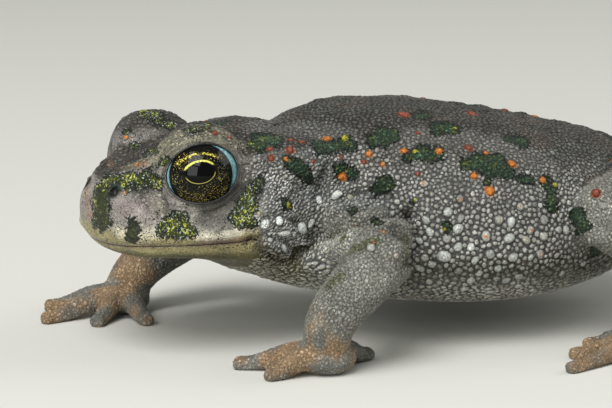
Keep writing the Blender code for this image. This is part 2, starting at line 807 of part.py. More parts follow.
def part_body(body):
    """Cuts the fused body into its nodes: a dictionary of meshes."""
    for sign in (1, -1):
        cut(body, thigh_wall(sign))
    for side in ("left", "right"):
        cut(body, arm_cone(side))
    pieces = islands(mesh_of(body))
    nodes = {}
    for side, sign, arm_joints in (("left", 1, LEFT_ARM), ("right", -1, RIGHT_ARM)):
        limb = nearest_piece(pieces, at(*arm_joints["wrist"][0]))
        names = [part + side for part in ("upper_arm_", "forearm_", "hand_")]
        nodes.update(part_limb(limb, names, arm_joints))
        leg_joints = mirrored_limb(LEG, sign)
        limb = nearest_piece(pieces, at(*leg_joints["ankle"][0]))
        names = [part + side for part in ("thigh_", "shank_", "ankle_")]
        parts = part_limb(limb, names, leg_joints)
        start, end = at(*leg_joints["ankle"][0]), at(*leg_joints["instep"][0])
        parts["foot_" + side], parts["ankle_" + side] = parted(
            parts["ankle_" + side], end, (end - start).normalized()
        )
        nodes.update(parts)
    head, nodes["torso"] = parted(pieces[0], on_head(NECK, 0, 0), head_aim(1, 0, 0))
    nodes.update(part_head(head))
    add_warts(nodes)
    return nodes


def tidy(bm):
    """One closed surface of triangles with no needless points, all faces out."""
    bmesh.ops.remove_doubles(bm, verts=bm.verts, dist=TIDY * MM)
    bmesh.ops.dissolve_degenerate(bm, edges=bm.edges, dist=TIDY * MM)
    bmesh.ops.triangulate(bm, faces=bm.faces)
    largest = islands(bm)[0]
    bmesh.ops.recalc_face_normals(largest, faces=largest.faces)
    return largest


def finish_for(name):
    """The kind of finish that a node takes."""
    for kind in ("eye", "ear"):
        if name.startswith(kind):
            return kind
    if name in ("head", "torso"):
        return "skin"
    return "belly" if name == "lower_jaw" else "limb"


def material(name):
    """The node's own material."""
    colour, roughness = FINISHES[finish_for(name)]
    made = bpy.data.materials.new(name)
    made.use_nodes = True
    shader = made.node_tree.nodes["Principled BSDF"]
    shader.inputs["Base Color"].default_value = (*colour, 1.0)
    shader.inputs["Roughness"].default_value = roughness
    return made


def main():
    for old in list(bpy.data.objects):
        bpy.data.objects.remove(old)
    group = bpy.data.collections.new(NAME)
    bpy.context.scene.collection.children.link(group)
    fused = islands(beyond(mesh_of(whole_body()), Vector(), Vector((0, 0, 1)), 0.0))[0]
    nodes = {name: tidy(bm) for name, bm in part_body(object_of("body", fused)).items()}
    points = np.array([vertex.co for bm in nodes.values() for vertex in bm.verts])
    middle = (points.min(axis=0) + points.max(axis=0)) / 2
    shift = Vector((-middle[0], -middle[1], 0.0))
    for name, bm in nodes.items():
        bmesh.ops.translate(bm, verts=bm.verts, vec=shift)
        node = object_of(name, bm)
        bpy.context.scene.collection.objects.unlink(node)
        group.objects.link(node)
        node.data.materials.append(material(name))
        node.data.shade_smooth()
        node.data.set_sharp_from_angle(angle=math.radians(40))


main()
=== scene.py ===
import math

import bmesh
import bpy
import numpy as np
from mathutils import Matrix, Vector, noise
from mathutils.bvhtree import BVHTree
from mathutils.kdtree import KDTree


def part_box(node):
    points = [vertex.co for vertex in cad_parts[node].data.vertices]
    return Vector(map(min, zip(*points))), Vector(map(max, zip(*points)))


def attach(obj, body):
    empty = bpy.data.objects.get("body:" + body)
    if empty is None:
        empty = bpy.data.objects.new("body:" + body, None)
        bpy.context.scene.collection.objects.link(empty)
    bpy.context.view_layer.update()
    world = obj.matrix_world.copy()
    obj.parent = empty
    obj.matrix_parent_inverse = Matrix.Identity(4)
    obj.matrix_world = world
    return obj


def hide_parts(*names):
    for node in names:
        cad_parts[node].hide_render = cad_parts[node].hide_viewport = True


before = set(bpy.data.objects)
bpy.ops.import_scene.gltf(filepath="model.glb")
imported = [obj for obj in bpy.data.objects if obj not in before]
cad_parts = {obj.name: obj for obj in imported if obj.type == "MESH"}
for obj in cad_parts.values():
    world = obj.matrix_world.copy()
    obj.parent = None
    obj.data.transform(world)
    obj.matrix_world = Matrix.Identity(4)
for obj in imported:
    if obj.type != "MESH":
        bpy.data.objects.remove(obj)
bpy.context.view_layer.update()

MM = 0.001

# sizes of the animal, as in its solids
MOUTH_HEIGHT = 12.2
HEAD_TURN_DEG = 8.0
NECK = -11.0
EYE_RADIUS = 4.1
EYE_CENTRE = (-0.65, 5.9, 6.5)
EYE_FORWARD_DEG = 20.0
EYE_UP_DEG = 8.0
EYE_SLANT_DEG = 7.0
EYE_OPENING = (3.7, 2.98)
LID_THICKNESS = 0.6
LID_ROLL = 0.55
LID_POINTS = 16
GAP = 0.3
NOSTRIL = (7.55, 3.03, 4.94)
NOSTRIL_RADIUS = 0.55
EAR = (-7.6, 4.6)
EAR_RADIUS = 1.2
LIP_ROLL = 0.7
LIP_PLACES = (-5.5, -2.5, 0.5, 3.0, 5.0, 6.6, 7.6)
# The line of the mouth from the snout to its corner: forward, up
MOUTH_LINE = (
    (12.0, -0.75), (7.8, -0.6), (5.0, -0.28), (1.6, -0.14), (-2.2, 0.03), (-4.4, 0.2), (-5.6, -0.5),
)
HEAD_STATIONS = (
    (8.7, 6.2, -1.6, 6.4, 2.6),
    (7.5, 6.9, -2.2, 6.8, 2.0),
    (5.0, 8.2, -2.5, 7.7, 1.2),
    (2.0, 9.4, -2.6, 8.6, 0.9),
    (-1.5, 10.5, -2.9, 9.3, 0.8),
    (-5.0, 11.3, -3.9, 10.0, 0.8),
    (-9.0, 11.2, -5.7, 11.2, 1.2),
    (-15.0, 9.0, -6.8, 11.0, 2.2),
)
HEAD_ENDS = (3.6, 3.0)
HEAD_SQUARENESS = 2.35
TRUNK_STATIONS = (
    (1.0, 9.0, 8.4, 20.4, 13.0),
    (-6.0, 11.0, 6.0, 22.1, 13.0),
    (-12.0, 12.4, 4.5, 23.2, 12.6),
    (-18.0, 14.4, 3.8, 24.5, 12.0),
    (-25.0, 17.2, 3.2, 24.2, 11.4),
    (-32.0, 18.5, 2.7, 23.4, 11.0),
    (-39.0, 17.6, 2.7, 22.1, 11.0),
    (-46.0, 15.0, 3.4, 20.9, 11.2),
    (-52.0, 12.4, 4.6, 19.8, 11.6),
    (-57.0, 9.8, 5.8, 18.1, 11.6),
    (-60.5, 8.0, 6.6, 16.1, 11.2),
)
TRUNK_ENDS = (2.2, 3.2)
TRUNK_SQUARENESS = 2.3
HEAD_FORMS = (
    ((-1.2, 5.1, 6.8), (4.8, 4.4, 4.8), 0.0, 0.0),
    ((-0.7, 6.1, 4.0), (5.6, 4.3, 4.4), -6.0, 0.0),
    ((3.6, 3.2, 5.8), (4.6, 1.5, 2.2), -20.0, 20.0),
)
PAROTOID = ((-11.4, 8.0, 19.5), (6.6, 3.4, 2.35), -12.0, -4.0)
LEFT_ARM = {
    "shoulder": ((-15.6, 8.0, 13.0), 3.6),
    "elbow": ((-17.9, 18.4, 11.6), 3.3),
    "wrist": ((-9.9, 21.4, 5.8), 2.6),
    "palm": ((-10.4, 19.6, 2.2), 2.3),
}
RIGHT_ARM = {
    "shoulder": ((-15.5, -8.0, 12.6), 3.6),
    "elbow": ((-12.6, -18.2, 9.6), 3.2),
    "wrist": ((-3.2, -16.0, 5.2), 2.6),
    "palm": ((-0.4, -14.8, 2.2), 2.3),
}
LEG = {
    "hip": ((-54.0, 6.0, 11.8), 5.7),
    "knee": ((-40.4, 21.0, 13.9), 3.4),
    "ankle": ((-60.0, 18.2, 4.4), 2.4),
    "instep": ((-49.0, 22.4, 2.5), 2.2),
}
UPPER_ARM = (0.55, 0.96)
FOREARM = (0.35, 1.03)
THIGH = (0.5, 1.04)
SHANK = (0.4, 1.22)
ANKLE = (0.5, 0.92)
LEFT_FINGERS = ((12.0, 5.6), (-30.0, 7.8), (-85.0, 6.6), (-150.0, 5.8))
RIGHT_FINGERS = ((-24.0, 7.0), (16.0, 8.8), (52.0, 6.8), (92.0, 6.6))
TOES = ((26.0, 5.6), (8.0, 8.4), (-8.0, 11.8), (-23.0, 16.0), (-44.0, 10.4))
TOE_ROOTS = (1.8, 1.0, 0.2, -0.7, -1.5)
ROD_END = 0.8
PALM = (3.1, 3.0, 1.8)
SOLE = (4.4, 3.0, 1.7)
PALM_TO_ROOT = 1.6
SOLE_FORWARD = 1.0
TOES_FORWARD = 2.0
FINGER_RADII = (1.25, 0.85)
TOE_RADII = (1.2, 0.8)
WEB_REACH = 0.55
WEB_THICKNESS = 0.9
WEB_HEIGHT = 0.56
WEB_HOLLOW = 0.22
FLOOR_SINK = 0.3

# how far outside the animal a search for a place on its skin begins
OUTSIDE = 30.0

# the skin's mesh
VOXEL = 0.27
SMOOTH_STEPS = 22
SKIN_TRIANGLES = 190000
TIDY = 0.004
# The line of the mouth and the room round the eyeball
MOUTH_SLIT = 0.12
SOCKET_GAP = 0.03

# camera, in the photograph's frame
PHOTO = (612, 408)
PIXELS_PER_MM = 10.0
VIEW_AZIMUTH_DEG = 68.0
VIEW_ELEVATION_DEG = 10.0
VIEW_DISTANCE = 270.0
SENSOR = 36.0
AIM_ON_HEAD = (0.0, 9.0, 7.0)
AIM_RIGHT = 9.8
AIM_UP = -3.1

SEED = 7


def plain_at(forward, left, height):
    """The point for a place in body terms, before the model is centred."""
    return Vector((left, -forward, height)) * MM


def plain_on_head(forward, left, up):
    """The point for a place in head terms, before the model is centred."""
    turn = math.radians(HEAD_TURN_DEG)
    reach = forward - NECK
    return plain_at(
        NECK + reach * math.cos(turn) - left * math.sin(turn),
        reach * math.sin(turn) + left * math.cos(turn),
        up + MOUTH_HEIGHT,
    )


eye_low, eye_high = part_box("eye_left")
SHIFT = (eye_low + eye_high) / 2 - plain_on_head(*EYE_CENTRE)
SHIFT.z = 0.0


def at(forward, left, height):
    """The scene's point for a place in body terms."""
    return plain_at(forward, left, height) + SHIFT


def on_head(forward, left, up):
    """The scene's point for a place in head terms."""
    return plain_on_head(forward, left, up) + SHIFT


def in_scene(x, y, z):
    """The scene's point for a place that is already in the scene's metres."""
    return Vector((x, y, z))


def body_terms(points):
    """Forward, left and height of many points, in millimetres."""
    moved = (points - np.array(SHIFT)) / MM
    return -moved[:, 1], moved[:, 0], moved[:, 2]


def head_terms(points):
    """Forward, left and up on the head of many points, in millimetres."""
    forward, left, height = body_terms(points)
    turn = math.radians(HEAD_TURN_DEG)
    reach = (forward - NECK) * math.cos(turn) + left * math.sin(turn)
    side = left * math.cos(turn) - (forward - NECK) * math.sin(turn)
    return reach + NECK, side, height - MOUTH_HEIGHT


def ramp(values, low, high):
    """0 at low, 1 at high, and smooth between."""
    t = np.clip((values - low) / (high - low), 0.0, 1.0)
    return t * t * (3 - 2 * t)


# forms of flesh
def smooth_between(stations, forward):
    """The stations' other columns at this place, on a smooth curve through them."""
    table = np.array(sorted(stations))
    slopes = np.gradient(table[:, 1:], table[:, 0], axis=0)
    i = int(np.clip(np.searchsorted(table[:, 0], forward) - 1, 0, len(table) - 2))
    step = table[i + 1, 0] - table[i, 0]
    t = (forward - table[i, 0]) / step
    return (
        (2 * t**3 - 3 * t**2 + 1) * table[i, 1:]
        + (t**3 - 2 * t**2 + t) * step * slopes[i]
        + (3 * t**2 - 2 * t**3) * table[i + 1, 1:]
        + (t**3 - t**2) * step * slopes[i + 1]
    )


def outline_point(stations, ends, squareness, forward, angle):
    """The place on the form through the stations at an angle: 0 left, a quarter turn up."""
    front, back = stations[0][0], stations[-1][0]
    axis = (forward - (front + back) / 2) / ((front - back) / 2)
    power = ends[0] if axis > 0 else ends[1]
    size = max(0.0, 1 - min(1.0, abs(axis)) ** power) ** (1 / power)
    width, bottom, top, level = smooth_between(stations, forward)
    side, rise = math.cos(angle), math.sin(angle)
    reach = (top - level) if rise > 0 else (level - bottom)
    return (
        forward,
        width * size * math.copysign(abs(side) ** (2 / squareness), side),
        level + reach * size * math.copysign(abs(rise) ** (2 / squareness), rise),
    )


def loft(stations, ends, squareness, place):
    """A closed form through the stations."""
    bm = bmesh.new()
    bmesh.ops.create_uvsphere(bm, u_segments=96, v_segments=80, radius=1.0)
    front, back = stations[0][0], stations[-1][0]
    for vertex in bm.verts:
        forward = (front + back) / 2 + (front - back) / 2 * max(-1.0, min(1.0, vertex.co.z))
        angle = math.atan2(vertex.co.y, vertex.co.x)
        vertex.co = place(*outline_point(stations, ends, squareness, forward, angle))
    bmesh.ops.recalc_face_normals(bm, faces=bm.faces)
    return bm


def ellipsoid(centre, half_sizes, turn_deg, tilt_deg, place):
    """A closed ellipsoid, turned about the vertical and tilted nose down."""
    bm = bmesh.new()
    bmesh.ops.create_uvsphere(bm, u_segments=48, v_segments=32, radius=1.0)
    turn = Matrix.Rotation(math.radians(turn_deg), 3, "Z")
    tilt = Matrix.Rotation(math.radians(tilt_deg), 3, "Y")
    for vertex in bm.verts:
        offset = turn @ tilt @ (Matrix.Diagonal(half_sizes) @ vertex.co)
        vertex.co = place(centre[0] + offset.x, centre[1] + offset.y, centre[2] + offset.z)
    bmesh.ops.recalc_face_normals(bm, faces=bm.faces)
    return bm


def mirrored_form(form, sign):
    """The same swelling on the left (1) or the right (-1)."""
    (forward, left, up), half_sizes, turn, tilt = form
    return (forward, left * sign, up), half_sizes, turn * sign, tilt


def tube(points, radii, place, ring=False, sides=6):
    """A round tube on a smooth curve through places, with its own radius at each."""
    curve = bpy.data.curves.new("tube", "CURVE")
    curve.dimensions = "3D"
    curve.bevel_depth = MM
    curve.bevel_resolution = sides
    curve.resolution_u = 8
    curve.use_fill_caps = True
    spline = curve.splines.new("NURBS")
    spline.points.add(len(points) - 1)
    for knot, point, radius in zip(spline.points, points, radii):
        knot.co = (*place(*point), 1.0)
        knot.radius = radius
    spline.order_u = 3
    spline.use_endpoint_u = not ring
    spline.use_cyclic_u = ring
    carrier = bpy.data.objects.new("tube", curve)
    bpy.context.scene.collection.objects.link(carrier)
    bpy.context.view_layer.update()
    graph = bpy.context.evaluated_depsgraph_get()
    mesh = bpy.data.meshes.new_from_object(carrier.evaluated_get(graph))
    bm = bmesh.new()
    bm.from_mesh(mesh)
    bmesh.ops.remove_doubles(bm, verts=bm.verts, dist=TIDY * MM)
    bmesh.ops.recalc_face_normals(bm, faces=bm.faces)
    bpy.data.objects.remove(carrier)
    bpy.data.meshes.remove(mesh)
    return bm


def rod(joints):
    """A length of limb through joints, each a place and a radius, with full ends."""
    places = [place for place, radius in joints]
    radii = [radius for place, radius in joints]
    places = [places[0], *places, places[-1]]
    return tube(places, [radii[0] * ROD_END, *radii, radii[-1] * ROD_END], at)


def between(a, b, share):
    """The place a share of the way from a to b."""
    return tuple(a[i] + (b[i] - a[i]) * share for i in range(3))


def muscle(start, end, form):
    """The place and the radius of the flesh between two joints."""
    share, swell = form
    return between(start[0], end[0], share), (start[1] + end[1]) / 2 * swell


def ahead(point, heading_deg, distance, height):
    """A place at a distance from a point, along a heading that turns from forward to the left."""
    heading = math.radians(heading_deg)
    return (
        point[0] + distance * math.cos(heading),
        point[1] + distance * math.sin(heading),
        height,
    )


def digit(root, heading, length, radii):
    """A finger or toe that lies on the floor, with a swelling at its joint and a blunt tip."""
    thick, thin = radii
    low = thin - FLOOR_SINK
    return rod(
        [
            ((root[0], root[1], thick * 1.5), thick * 1.15),
            (ahead(root, heading, length * 0.3, thick * 1.35), thick),
            (ahead(root, heading, length * 0.55, thin * 1.2), thin * 1.2),
            (ahead(root, heading, length * 0.8, low), thin),
            (ahead(root, heading, length, low), thin * 1.05),
        ]
    )


def web(root_a, heading_a, root_b, heading_b, reach):
    """A thin membrane between two toes, with a hollow free edge."""
    height = WEB_HEIGHT
    tip_a = ahead(root_a, heading_a, reach, height)
    tip_b = ahead(root_b, heading_b, reach, height)
    heel_a = ahead(root_a, heading_a, 0.0, height)
    heel_b = ahead(root_b, heading_b, 0.0, height)
    hollow = between(between(tip_a, tip_b, 0.5), between(heel_a, heel_b, 0.5), WEB_HOLLOW)
    bm = bmesh.new()
    corners = [bm.verts.new(at(*corner)) for corner in (heel_a, tip_a, hollow, tip_b, heel_b)]
    face = bm.faces.new(corners)
    bmesh.ops.solidify(bm, geom=[face], thickness=WEB_THICKNESS * MM)
    bmesh.ops.triangulate(bm, faces=bm.faces)
    bmesh.ops.recalc_face_normals(bm, faces=bm.faces)
    return bm


def mirrored_limb(joints, sign):
    """The same limb on the left (1) or the right (-1)."""
    return {
        name: ((forward, left * sign, height), radius)
        for name, ((forward, left, height), radius) in joints.items()
    }


def hand(palm, fingers):
    """Palm and four spread fingers."""
    forms = [ellipsoid((palm[0], palm[1], PALM[2] - FLOOR_SINK), PALM, 0.0, 0.0, at)]
    for heading, length in fingers:
        root = ahead(palm, heading, PALM_TO_ROOT, 0.0)
        forms.append(digit(root, heading, length, FINGER_RADII))
    return forms


def foot(instep, sign):
    """Sole and five webbed toes."""
    middle = (instep[0] + SOLE_FORWARD, instep[1], SOLE[2] - FLOOR_SINK)
    forms = [ellipsoid(middle, SOLE, 0.0, 0.0, at)]
    roots = [(instep[0] + TOES_FORWARD, instep[1] - sign * side, 0.0) for side in TOE_ROOTS]
    headings = [-sign * heading for heading, length in TOES]
    lengths = [length for heading, length in TOES]
    for root, heading, length in zip(roots, headings, lengths):
        forms.append(digit(root, heading, length, TOE_RADII))
    for i in range(len(TOES) - 1):
        reach = min(lengths[i], lengths[i + 1]) * WEB_REACH
        forms.append(web(roots[i], headings[i], roots[i + 1], headings[i + 1], reach))
    return forms


def arm(joints, fingers):
    """Upper arm, forearm and hand."""
    shoulder, elbow, wrist, palm = joints.values()
    return [
        rod([shoulder, muscle(shoulder, elbow, UPPER_ARM), elbow]),
        rod([elbow, muscle(elbow, wrist, FOREARM), wrist, palm]),
        *hand(palm[0], fingers),
    ]


def leg(joints, sign):
    """Thigh, shank, ankle and foot."""
    hip, knee, ankle, instep = joints.values()
    return [
        rod([hip, muscle(hip, knee, THIGH), knee]),
        rod([knee, muscle(knee, ankle, SHANK), ankle]),
        rod([ankle, muscle(ankle, instep, ANKLE), instep]),
        *foot(instep[0], sign),
    ]


def head_aim(forward, left, up):
    """A direction on the head."""
    return (on_head(forward, left, up) - on_head(0, 0, 0)).normalized()


def eye_axes(sign):
    """An eye's centre and its directions outward, along the opening and up it."""
    forward, left, up = EYE_CENTRE
    centre = on_head(forward, left * sign, up)
    turn, tilt = math.radians(EYE_FORWARD_DEG), math.radians(EYE_UP_DEG)
    aim = (
        forward + math.cos(tilt) * math.sin(turn),
        (left + math.cos(tilt) * math.cos(turn)) * sign,
        up + math.sin(tilt),
    )
    outward = (on_head(*aim) - centre).normalized()
    nose = head_aim(1, 0, 0)
    along = (nose - outward * nose.dot(outward)).normalized()
    slant = Matrix.Rotation(math.radians(EYE_SLANT_DEG) * sign, 3, outward)
    along = slant @ along
    rise = outward.cross(along)
    if rise.z < 0:
        rise.negate()
    return centre, outward, along, rise


def lid_ring(sign, count, reach, wider, depth_below):
    """Places round the opening of the lids, wider than it and below a reach from the eye's centre."""
    centre, outward, along, rise = eye_axes(sign)
    points = []
    for angle in np.linspace(0.0, math.tau, count, endpoint=False):
        a = (EYE_OPENING[0] + wider) * math.cos(angle)
        b = (EYE_OPENING[1] + wider) * math.sin(angle)
        depth = math.sqrt(reach**2 - a**2 - b**2) - depth_below
        points.append(centre + (outward * depth + along * a + rise * b) * MM)
    return points


def eyelids(sign):
    """The swelling over the eyeball and the roll round the opening."""
    forward, left, up = EYE_CENTRE
    reach = EYE_RADIUS + GAP + LID_THICKNESS
    points = lid_ring(sign, LID_POINTS, reach, LID_ROLL / 2, LID_ROLL / 2)
    return [
        ellipsoid((forward, left * sign, up), (reach, reach, reach), 0.0, 0.0, on_head),
        tube(points, [LID_ROLL] * len(points), in_scene, ring=True),
    ]


def lips():
    """A soft roll along the upper lip, round the snout from corner to corner."""
    side = []
    for forward in LIP_PLACES:
        ring = [
            outline_point(HEAD_STATIONS, HEAD_ENDS, HEAD_SQUARENESS, forward, -angle)
            for angle in np.linspace(0.0, math.pi / 2, 40)
        ]
        place = min(ring, key=lambda point: abs(point[2] - LIP_ROLL))
        side.append((forward, place[1] - LIP_ROLL * 0.6, LIP_ROLL))
    other = [(forward, -left, up) for forward, left, up in reversed(side)]
    return tube(side + other, [LIP_ROLL] * len(side + other), on_head)


def joined(forms):
    """Many meshes as one, with the originals freed."""
    whole = bmesh.new()
    for form in forms:
        mesh = bpy.data.meshes.new("form")
        form.to_mesh(mesh)
        form.free()
        whole.from_mesh(mesh)
        bpy.data.meshes.remove(mesh)
    return whole


def object_of(name, bm):
    """A new object that holds the mesh."""
    mesh = bpy.data.meshes.new(name)
    bm.to_mesh(mesh)
    bm.free()
    made = bpy.data.objects.new(name, mesh)
    bpy.context.scene.collection.objects.link(made)
    return made


def apply_modifiers(obj):
    """Makes the evaluated mesh the object's own."""
    bpy.context.view_layer.update()
    graph = bpy.context.evaluated_depsgraph_get()
    mesh = bpy.data.meshes.new_from_object(obj.evaluated_get(graph))
    obj.modifiers.clear()
    old = obj.data
    obj.data = mesh
    bpy.data.meshes.remove(old)


def points_of(mesh):
    """The mesh's vertices as rows of metres."""
    flat = np.zeros(len(mesh.vertices) * 3, np.float32)
    mesh.vertices.foreach_get("co", flat)
    return flat.reshape(-1, 3).astype(float)


def normals_of(mesh):
    """The direction of the surface at each vertex."""
    flat = np.zeros(len(mesh.vertices) * 3, np.float32)
    mesh.vertices.foreach_get("normal", flat)
    return flat.reshape(-1, 3).astype(float)


def move_points(mesh, points):
    """Puts the mesh's vertices at these places."""
    mesh.vertices.foreach_set("co", points.astype(np.float32).ravel())
    mesh.update()


# the camera and places read through it
def view_axes():
    """The camera's directions: to the right, up and into the picture."""
    azimuth, elevation = math.radians(VIEW_AZIMUTH_DEG), math.radians(VIEW_ELEVATION_DEG)
    ahead_of = Vector(
        (
            -math.sin(azimuth) * math.cos(elevation),
            math.cos(azimuth) * math.cos(elevation),
            -math.sin(elevation),
        )
    )
    right = Vector((math.cos(azimuth), math.sin(azimuth), 0.0))
    return right, right.cross(ahead_of), ahead_of


def camera_place():
    """Where the camera stands."""
    right, up, ahead_of = view_axes()
    aim = on_head(*AIM_ON_HEAD) + (right * AIM_RIGHT + up * AIM_UP) * MM
    return aim - ahead_of * VIEW_DISTANCE * MM


def add_camera():
    """The camera at the photograph's angle and framing."""
    right, up, ahead_of = view_axes()
    data = bpy.data.cameras.new("camera")
    data.sensor_width = SENSOR
    data.lens = SENSOR * VIEW_DISTANCE * PIXELS_PER_MM / PHOTO[0]
    data.clip_start = 0.01
    data.clip_end = 20.0
    camera = bpy.data.objects.new("camera", data)
    camera.location = camera_place()
    camera.rotation_euler = ahead_of.to_track_quat("-Z", "Y").to_euler()
    bpy.context.scene.collection.objects.link(camera)
    bpy.context.scene.camera = camera


def seen(tree, x, y):
    """The skin's place at these pixel coordinates of the photograph, and its direction there."""
    right, up, ahead_of = view_axes()
    aim = ahead_of * VIEW_DISTANCE
    aim += right * (x - PHOTO[0] / 2) / PIXELS_PER_MM + up * (PHOTO[1] / 2 - y) / PIXELS_PER_MM
    point, normal, face, distance = tree.ray_cast(camera_place(), aim.normalized())
    return point, normal


# Folds of the skin, read along the photograph's pixels: places, width and depth in millimetres
FOLDS = (
    # under the eye, two furrows of the lower lid
    (((174, 200), (186, 209), (204, 213), (222, 209), (236, 199)), 0.28, 0.16),
    (((184, 217), (206, 221), (228, 216), (244, 204)), 0.3, 0.1),
    # behind the corner of the mouth, down to the throat
    (((252, 241), (266, 238), (281, 240), (294, 247), (304, 256)), 0.42, 0.6),
    (((258, 248), (270, 255), (286, 262)), 0.36, 0.4),
    (((251, 229), (264, 232), (276, 229), (290, 240), (306, 240)), 0.32, 0.35),
    (((262, 219), (274, 216), (286, 217), (297, 224)), 0.3, 0.25),
    # from behind the gland of the neck down in front of the arm
    (((328, 166), (321, 180), (318, 192), (320, 206), (319, 221), (312, 237)), 0.5, 1.1),
    (((300, 176), (292, 190), (288, 204), (284, 214)), 0.3, 0.2),
    (((338, 182), (331, 196), (329, 210), (322, 229)), 0.36, 0.45),
    (((354, 201), (343, 209), (333, 217), (323, 228), (312, 240)), 0.36, 0.5),
    (((374, 199), (366, 207), (352, 212), (340, 219), (328, 232)), 0.34, 0.42),
    (((338, 202), (354, 193), (374, 190), (392, 196)), 0.36, 0.3),
    # the fold from above the arm to the throat
    (((408, 216), (386, 214), (366, 219), (345, 225), (330, 236), (314, 248), (296, 258)), 0.55, 1.4),
    (((406, 222), (413, 236), (415, 250), (408, 264)), 0.5, 0.6),
)
# Raised lines of the head: the ridge from the eye to the snout and the swelling of the nostril
RIDGES = (
    (((168, 160), (150, 163), (132, 168), (112, 174), (98, 182)), 0.8, 0.2),
    (((108, 180), (120, 182), (124, 190)), 0.5, 0.15),
)


def chain_gap(points, places, radii):
    """How far each point is outside a run of places with radii; below 0 inside it."""
    gap = np.full(len(points), np.inf)
    if len(places) == 1:
        return np.linalg.norm(points - places[0], axis=1) - radii[0]
    for a, b, near, far in zip(places, places[1:], radii, radii[1:]):
        run = b - a
        t = np.clip((points - a) @ run / max(run @ run, 1e-12), 0.0, 1.0)
        away = np.linalg.norm(points - a - t[:, None] * run, axis=1)
        gap = np.minimum(gap, away - near - t * (far - near))
    return gap


def mirrored_place(point):
    """The same place on the animal's other side."""
    row = np.array(point)[None]
    forward, left, height = (value[0] for value in body_terms(row))
    if forward > NECK:
        forward, left, up = (value[0] for value in head_terms(row))
        return on_head(forward, -left, up)
    return at(forward, -left, height)


def both_sides(tree, pixels):
    """A run of the photograph's places on the skin, and the same run on the other side."""
    near = [seen(tree, x, y)[0] for x, y in pixels]
    near = [point for point in near if point is not None]
    far = [tree.find_nearest(mirrored_place(point))[0] for point in near]
    return np.array(near), np.array(far)


def fused_skin():
    """Every form of flesh, fused and smoothed to one closed skin."""
    forms = [
        loft(HEAD_STATIONS, HEAD_ENDS, HEAD_SQUARENESS, on_head),
        loft(TRUNK_STATIONS, TRUNK_ENDS, TRUNK_SQUARENESS, at),
        lips(),
    ]
    for sign in (1, -1):
        forms += [ellipsoid(*mirrored_form(form, sign), on_head) for form in HEAD_FORMS]
        forms.append(ellipsoid(*mirrored_form(PAROTOID, sign), at))
        forms += eyelids(sign)
        forms += leg(mirrored_limb(LEG, sign), sign)
    forms += arm(LEFT_ARM, LEFT_FINGERS)
    forms += arm(RIGHT_ARM, RIGHT_FINGERS)
    body = object_of("toad_skin", joined(forms))
    remesh = body.modifiers.new("Fuse", "REMESH")
    remesh.mode = "VOXEL"
    remesh.voxel_size = VOXEL * MM
    smooth = body.modifiers.new("Soften", "SMOOTH")
    smooth.iterations = SMOOTH_STEPS
    smooth.factor = 0.5
    apply_modifiers(body)
    return body


def place_tree(places):
    """A tree that finds the nearest of many places."""
    tree = KDTree(len(places))
    for i, place in enumerate(places):
        tree.insert(place, i)
    tree.balance()
    return tree


def tree_of(obj):
    """The object's surface, for finding places on it."""
    bpy.context.view_layer.update()
    return BVHTree.FromObject(obj, bpy.context.evaluated_depsgraph_get())


def ear_place(tree, sign):
    """The middle of an eardrum on the skin."""
    aim = head_aim(0, sign, 0)
    return tree.ray_cast(on_head(EAR[0], 0, EAR[1]) + aim * OUTSIDE * MM, -aim)[0]


# The low swellings of the back: how many, and their widths and heights in millimetres
BUMPS = 420
BUMP_WIDTH = (0.5, 1.2)
BUMP_HEIGHT = (0.08, 0.34)
EAR_RIM = 0.13


def bumps(points, normals, rng):
    """The uneven back: low swellings of many sizes, in millimetres of height."""
    lift = np.zeros(len(points))
    height = points[:, 2] / MM
    upper = np.flatnonzero((normals[:, 2] > 0.15) & (height > 9))
    for i in rng.choice(upper, BUMPS):
        width, high = rng.uniform(*BUMP_WIDTH), rng.uniform(*BUMP_HEIGHT)
        near = np.flatnonzero((np.abs(points - points[i]) < width * 2.5 * MM).all(axis=1))
        gap = np.linalg.norm(points[near] - points[i], axis=1) / (width * MM)
        lift[near] = np.maximum(lift[near], high * np.exp(-gap * gap))
    head_forward, head_left, head_up = head_terms(points)
    face = ramp(head_forward, -7.0, -4.0)
    return lift * ramp(normals[:, 2], 0.1, 0.4) * (1 - 0.85 * face) * ramp(height, 24.6, 23.4)


def fold_skin(skin, rng):
    """Folds, ridges, bumps, eardrums, lids and the flat soles."""
    tree = tree_of(skin)
    points = points_of(skin.data)
    normals = normals_of(skin.data)
    lift = bumps(points, normals, rng)
    for forms, sign in ((FOLDS, -1), (RIDGES, 1)):
        for pixels, width, height in forms:
            for side in both_sides(tree, pixels):
                ends = [width * 0.2 * MM] * len(side)
                gap = np.maximum(chain_gap(points, side, ends), 0.0) / (width * MM)
                lift += sign * height * np.exp(-gap * gap)
    for sign in (1, -1):
        gap = np.linalg.norm(points - np.array(ear_place(tree, sign)), axis=1) / MM / EAR_RADIUS
        lift += EAR_RIM * (np.exp(-(((gap - 1.0) / 0.2) ** 2)) - ramp(gap, 0.95, 0.6))
    points += normals * lift[:, None] * MM
    for sign in (1, -1):
        points = shape_lids(points, sign)
    points[:, 2] = np.maximum(points[:, 2], 0.0)
    move_points(skin.data, points)


def eye_view(points, sign):
    """Each point's distance from the eye's centre, its place over the opening (1 at its edge),
    its height over the opening's long axis and whether it is on the outer side."""
    centre, outward, along, rise = (np.array(axis) for axis in eye_axes(sign))
    offset = (points - centre) / MM
    reach = np.maximum(np.linalg.norm(offset, axis=1), 1e-6)
    a, b = offset @ along / reach, offset @ rise / reach
    flat = np.maximum(np.hypot(a, b), 1e-6)
    edge = 1 / np.hypot(a / flat / EYE_OPENING[0], b / flat / EYE_OPENING[1])
    angle = np.arctan2(flat, offset @ outward / reach)
    ring = angle / np.arcsin(np.minimum(edge / EYE_RADIUS, 1.0))
    return reach, ring, ring * b / flat, ring * a / flat, offset @ outward > 0


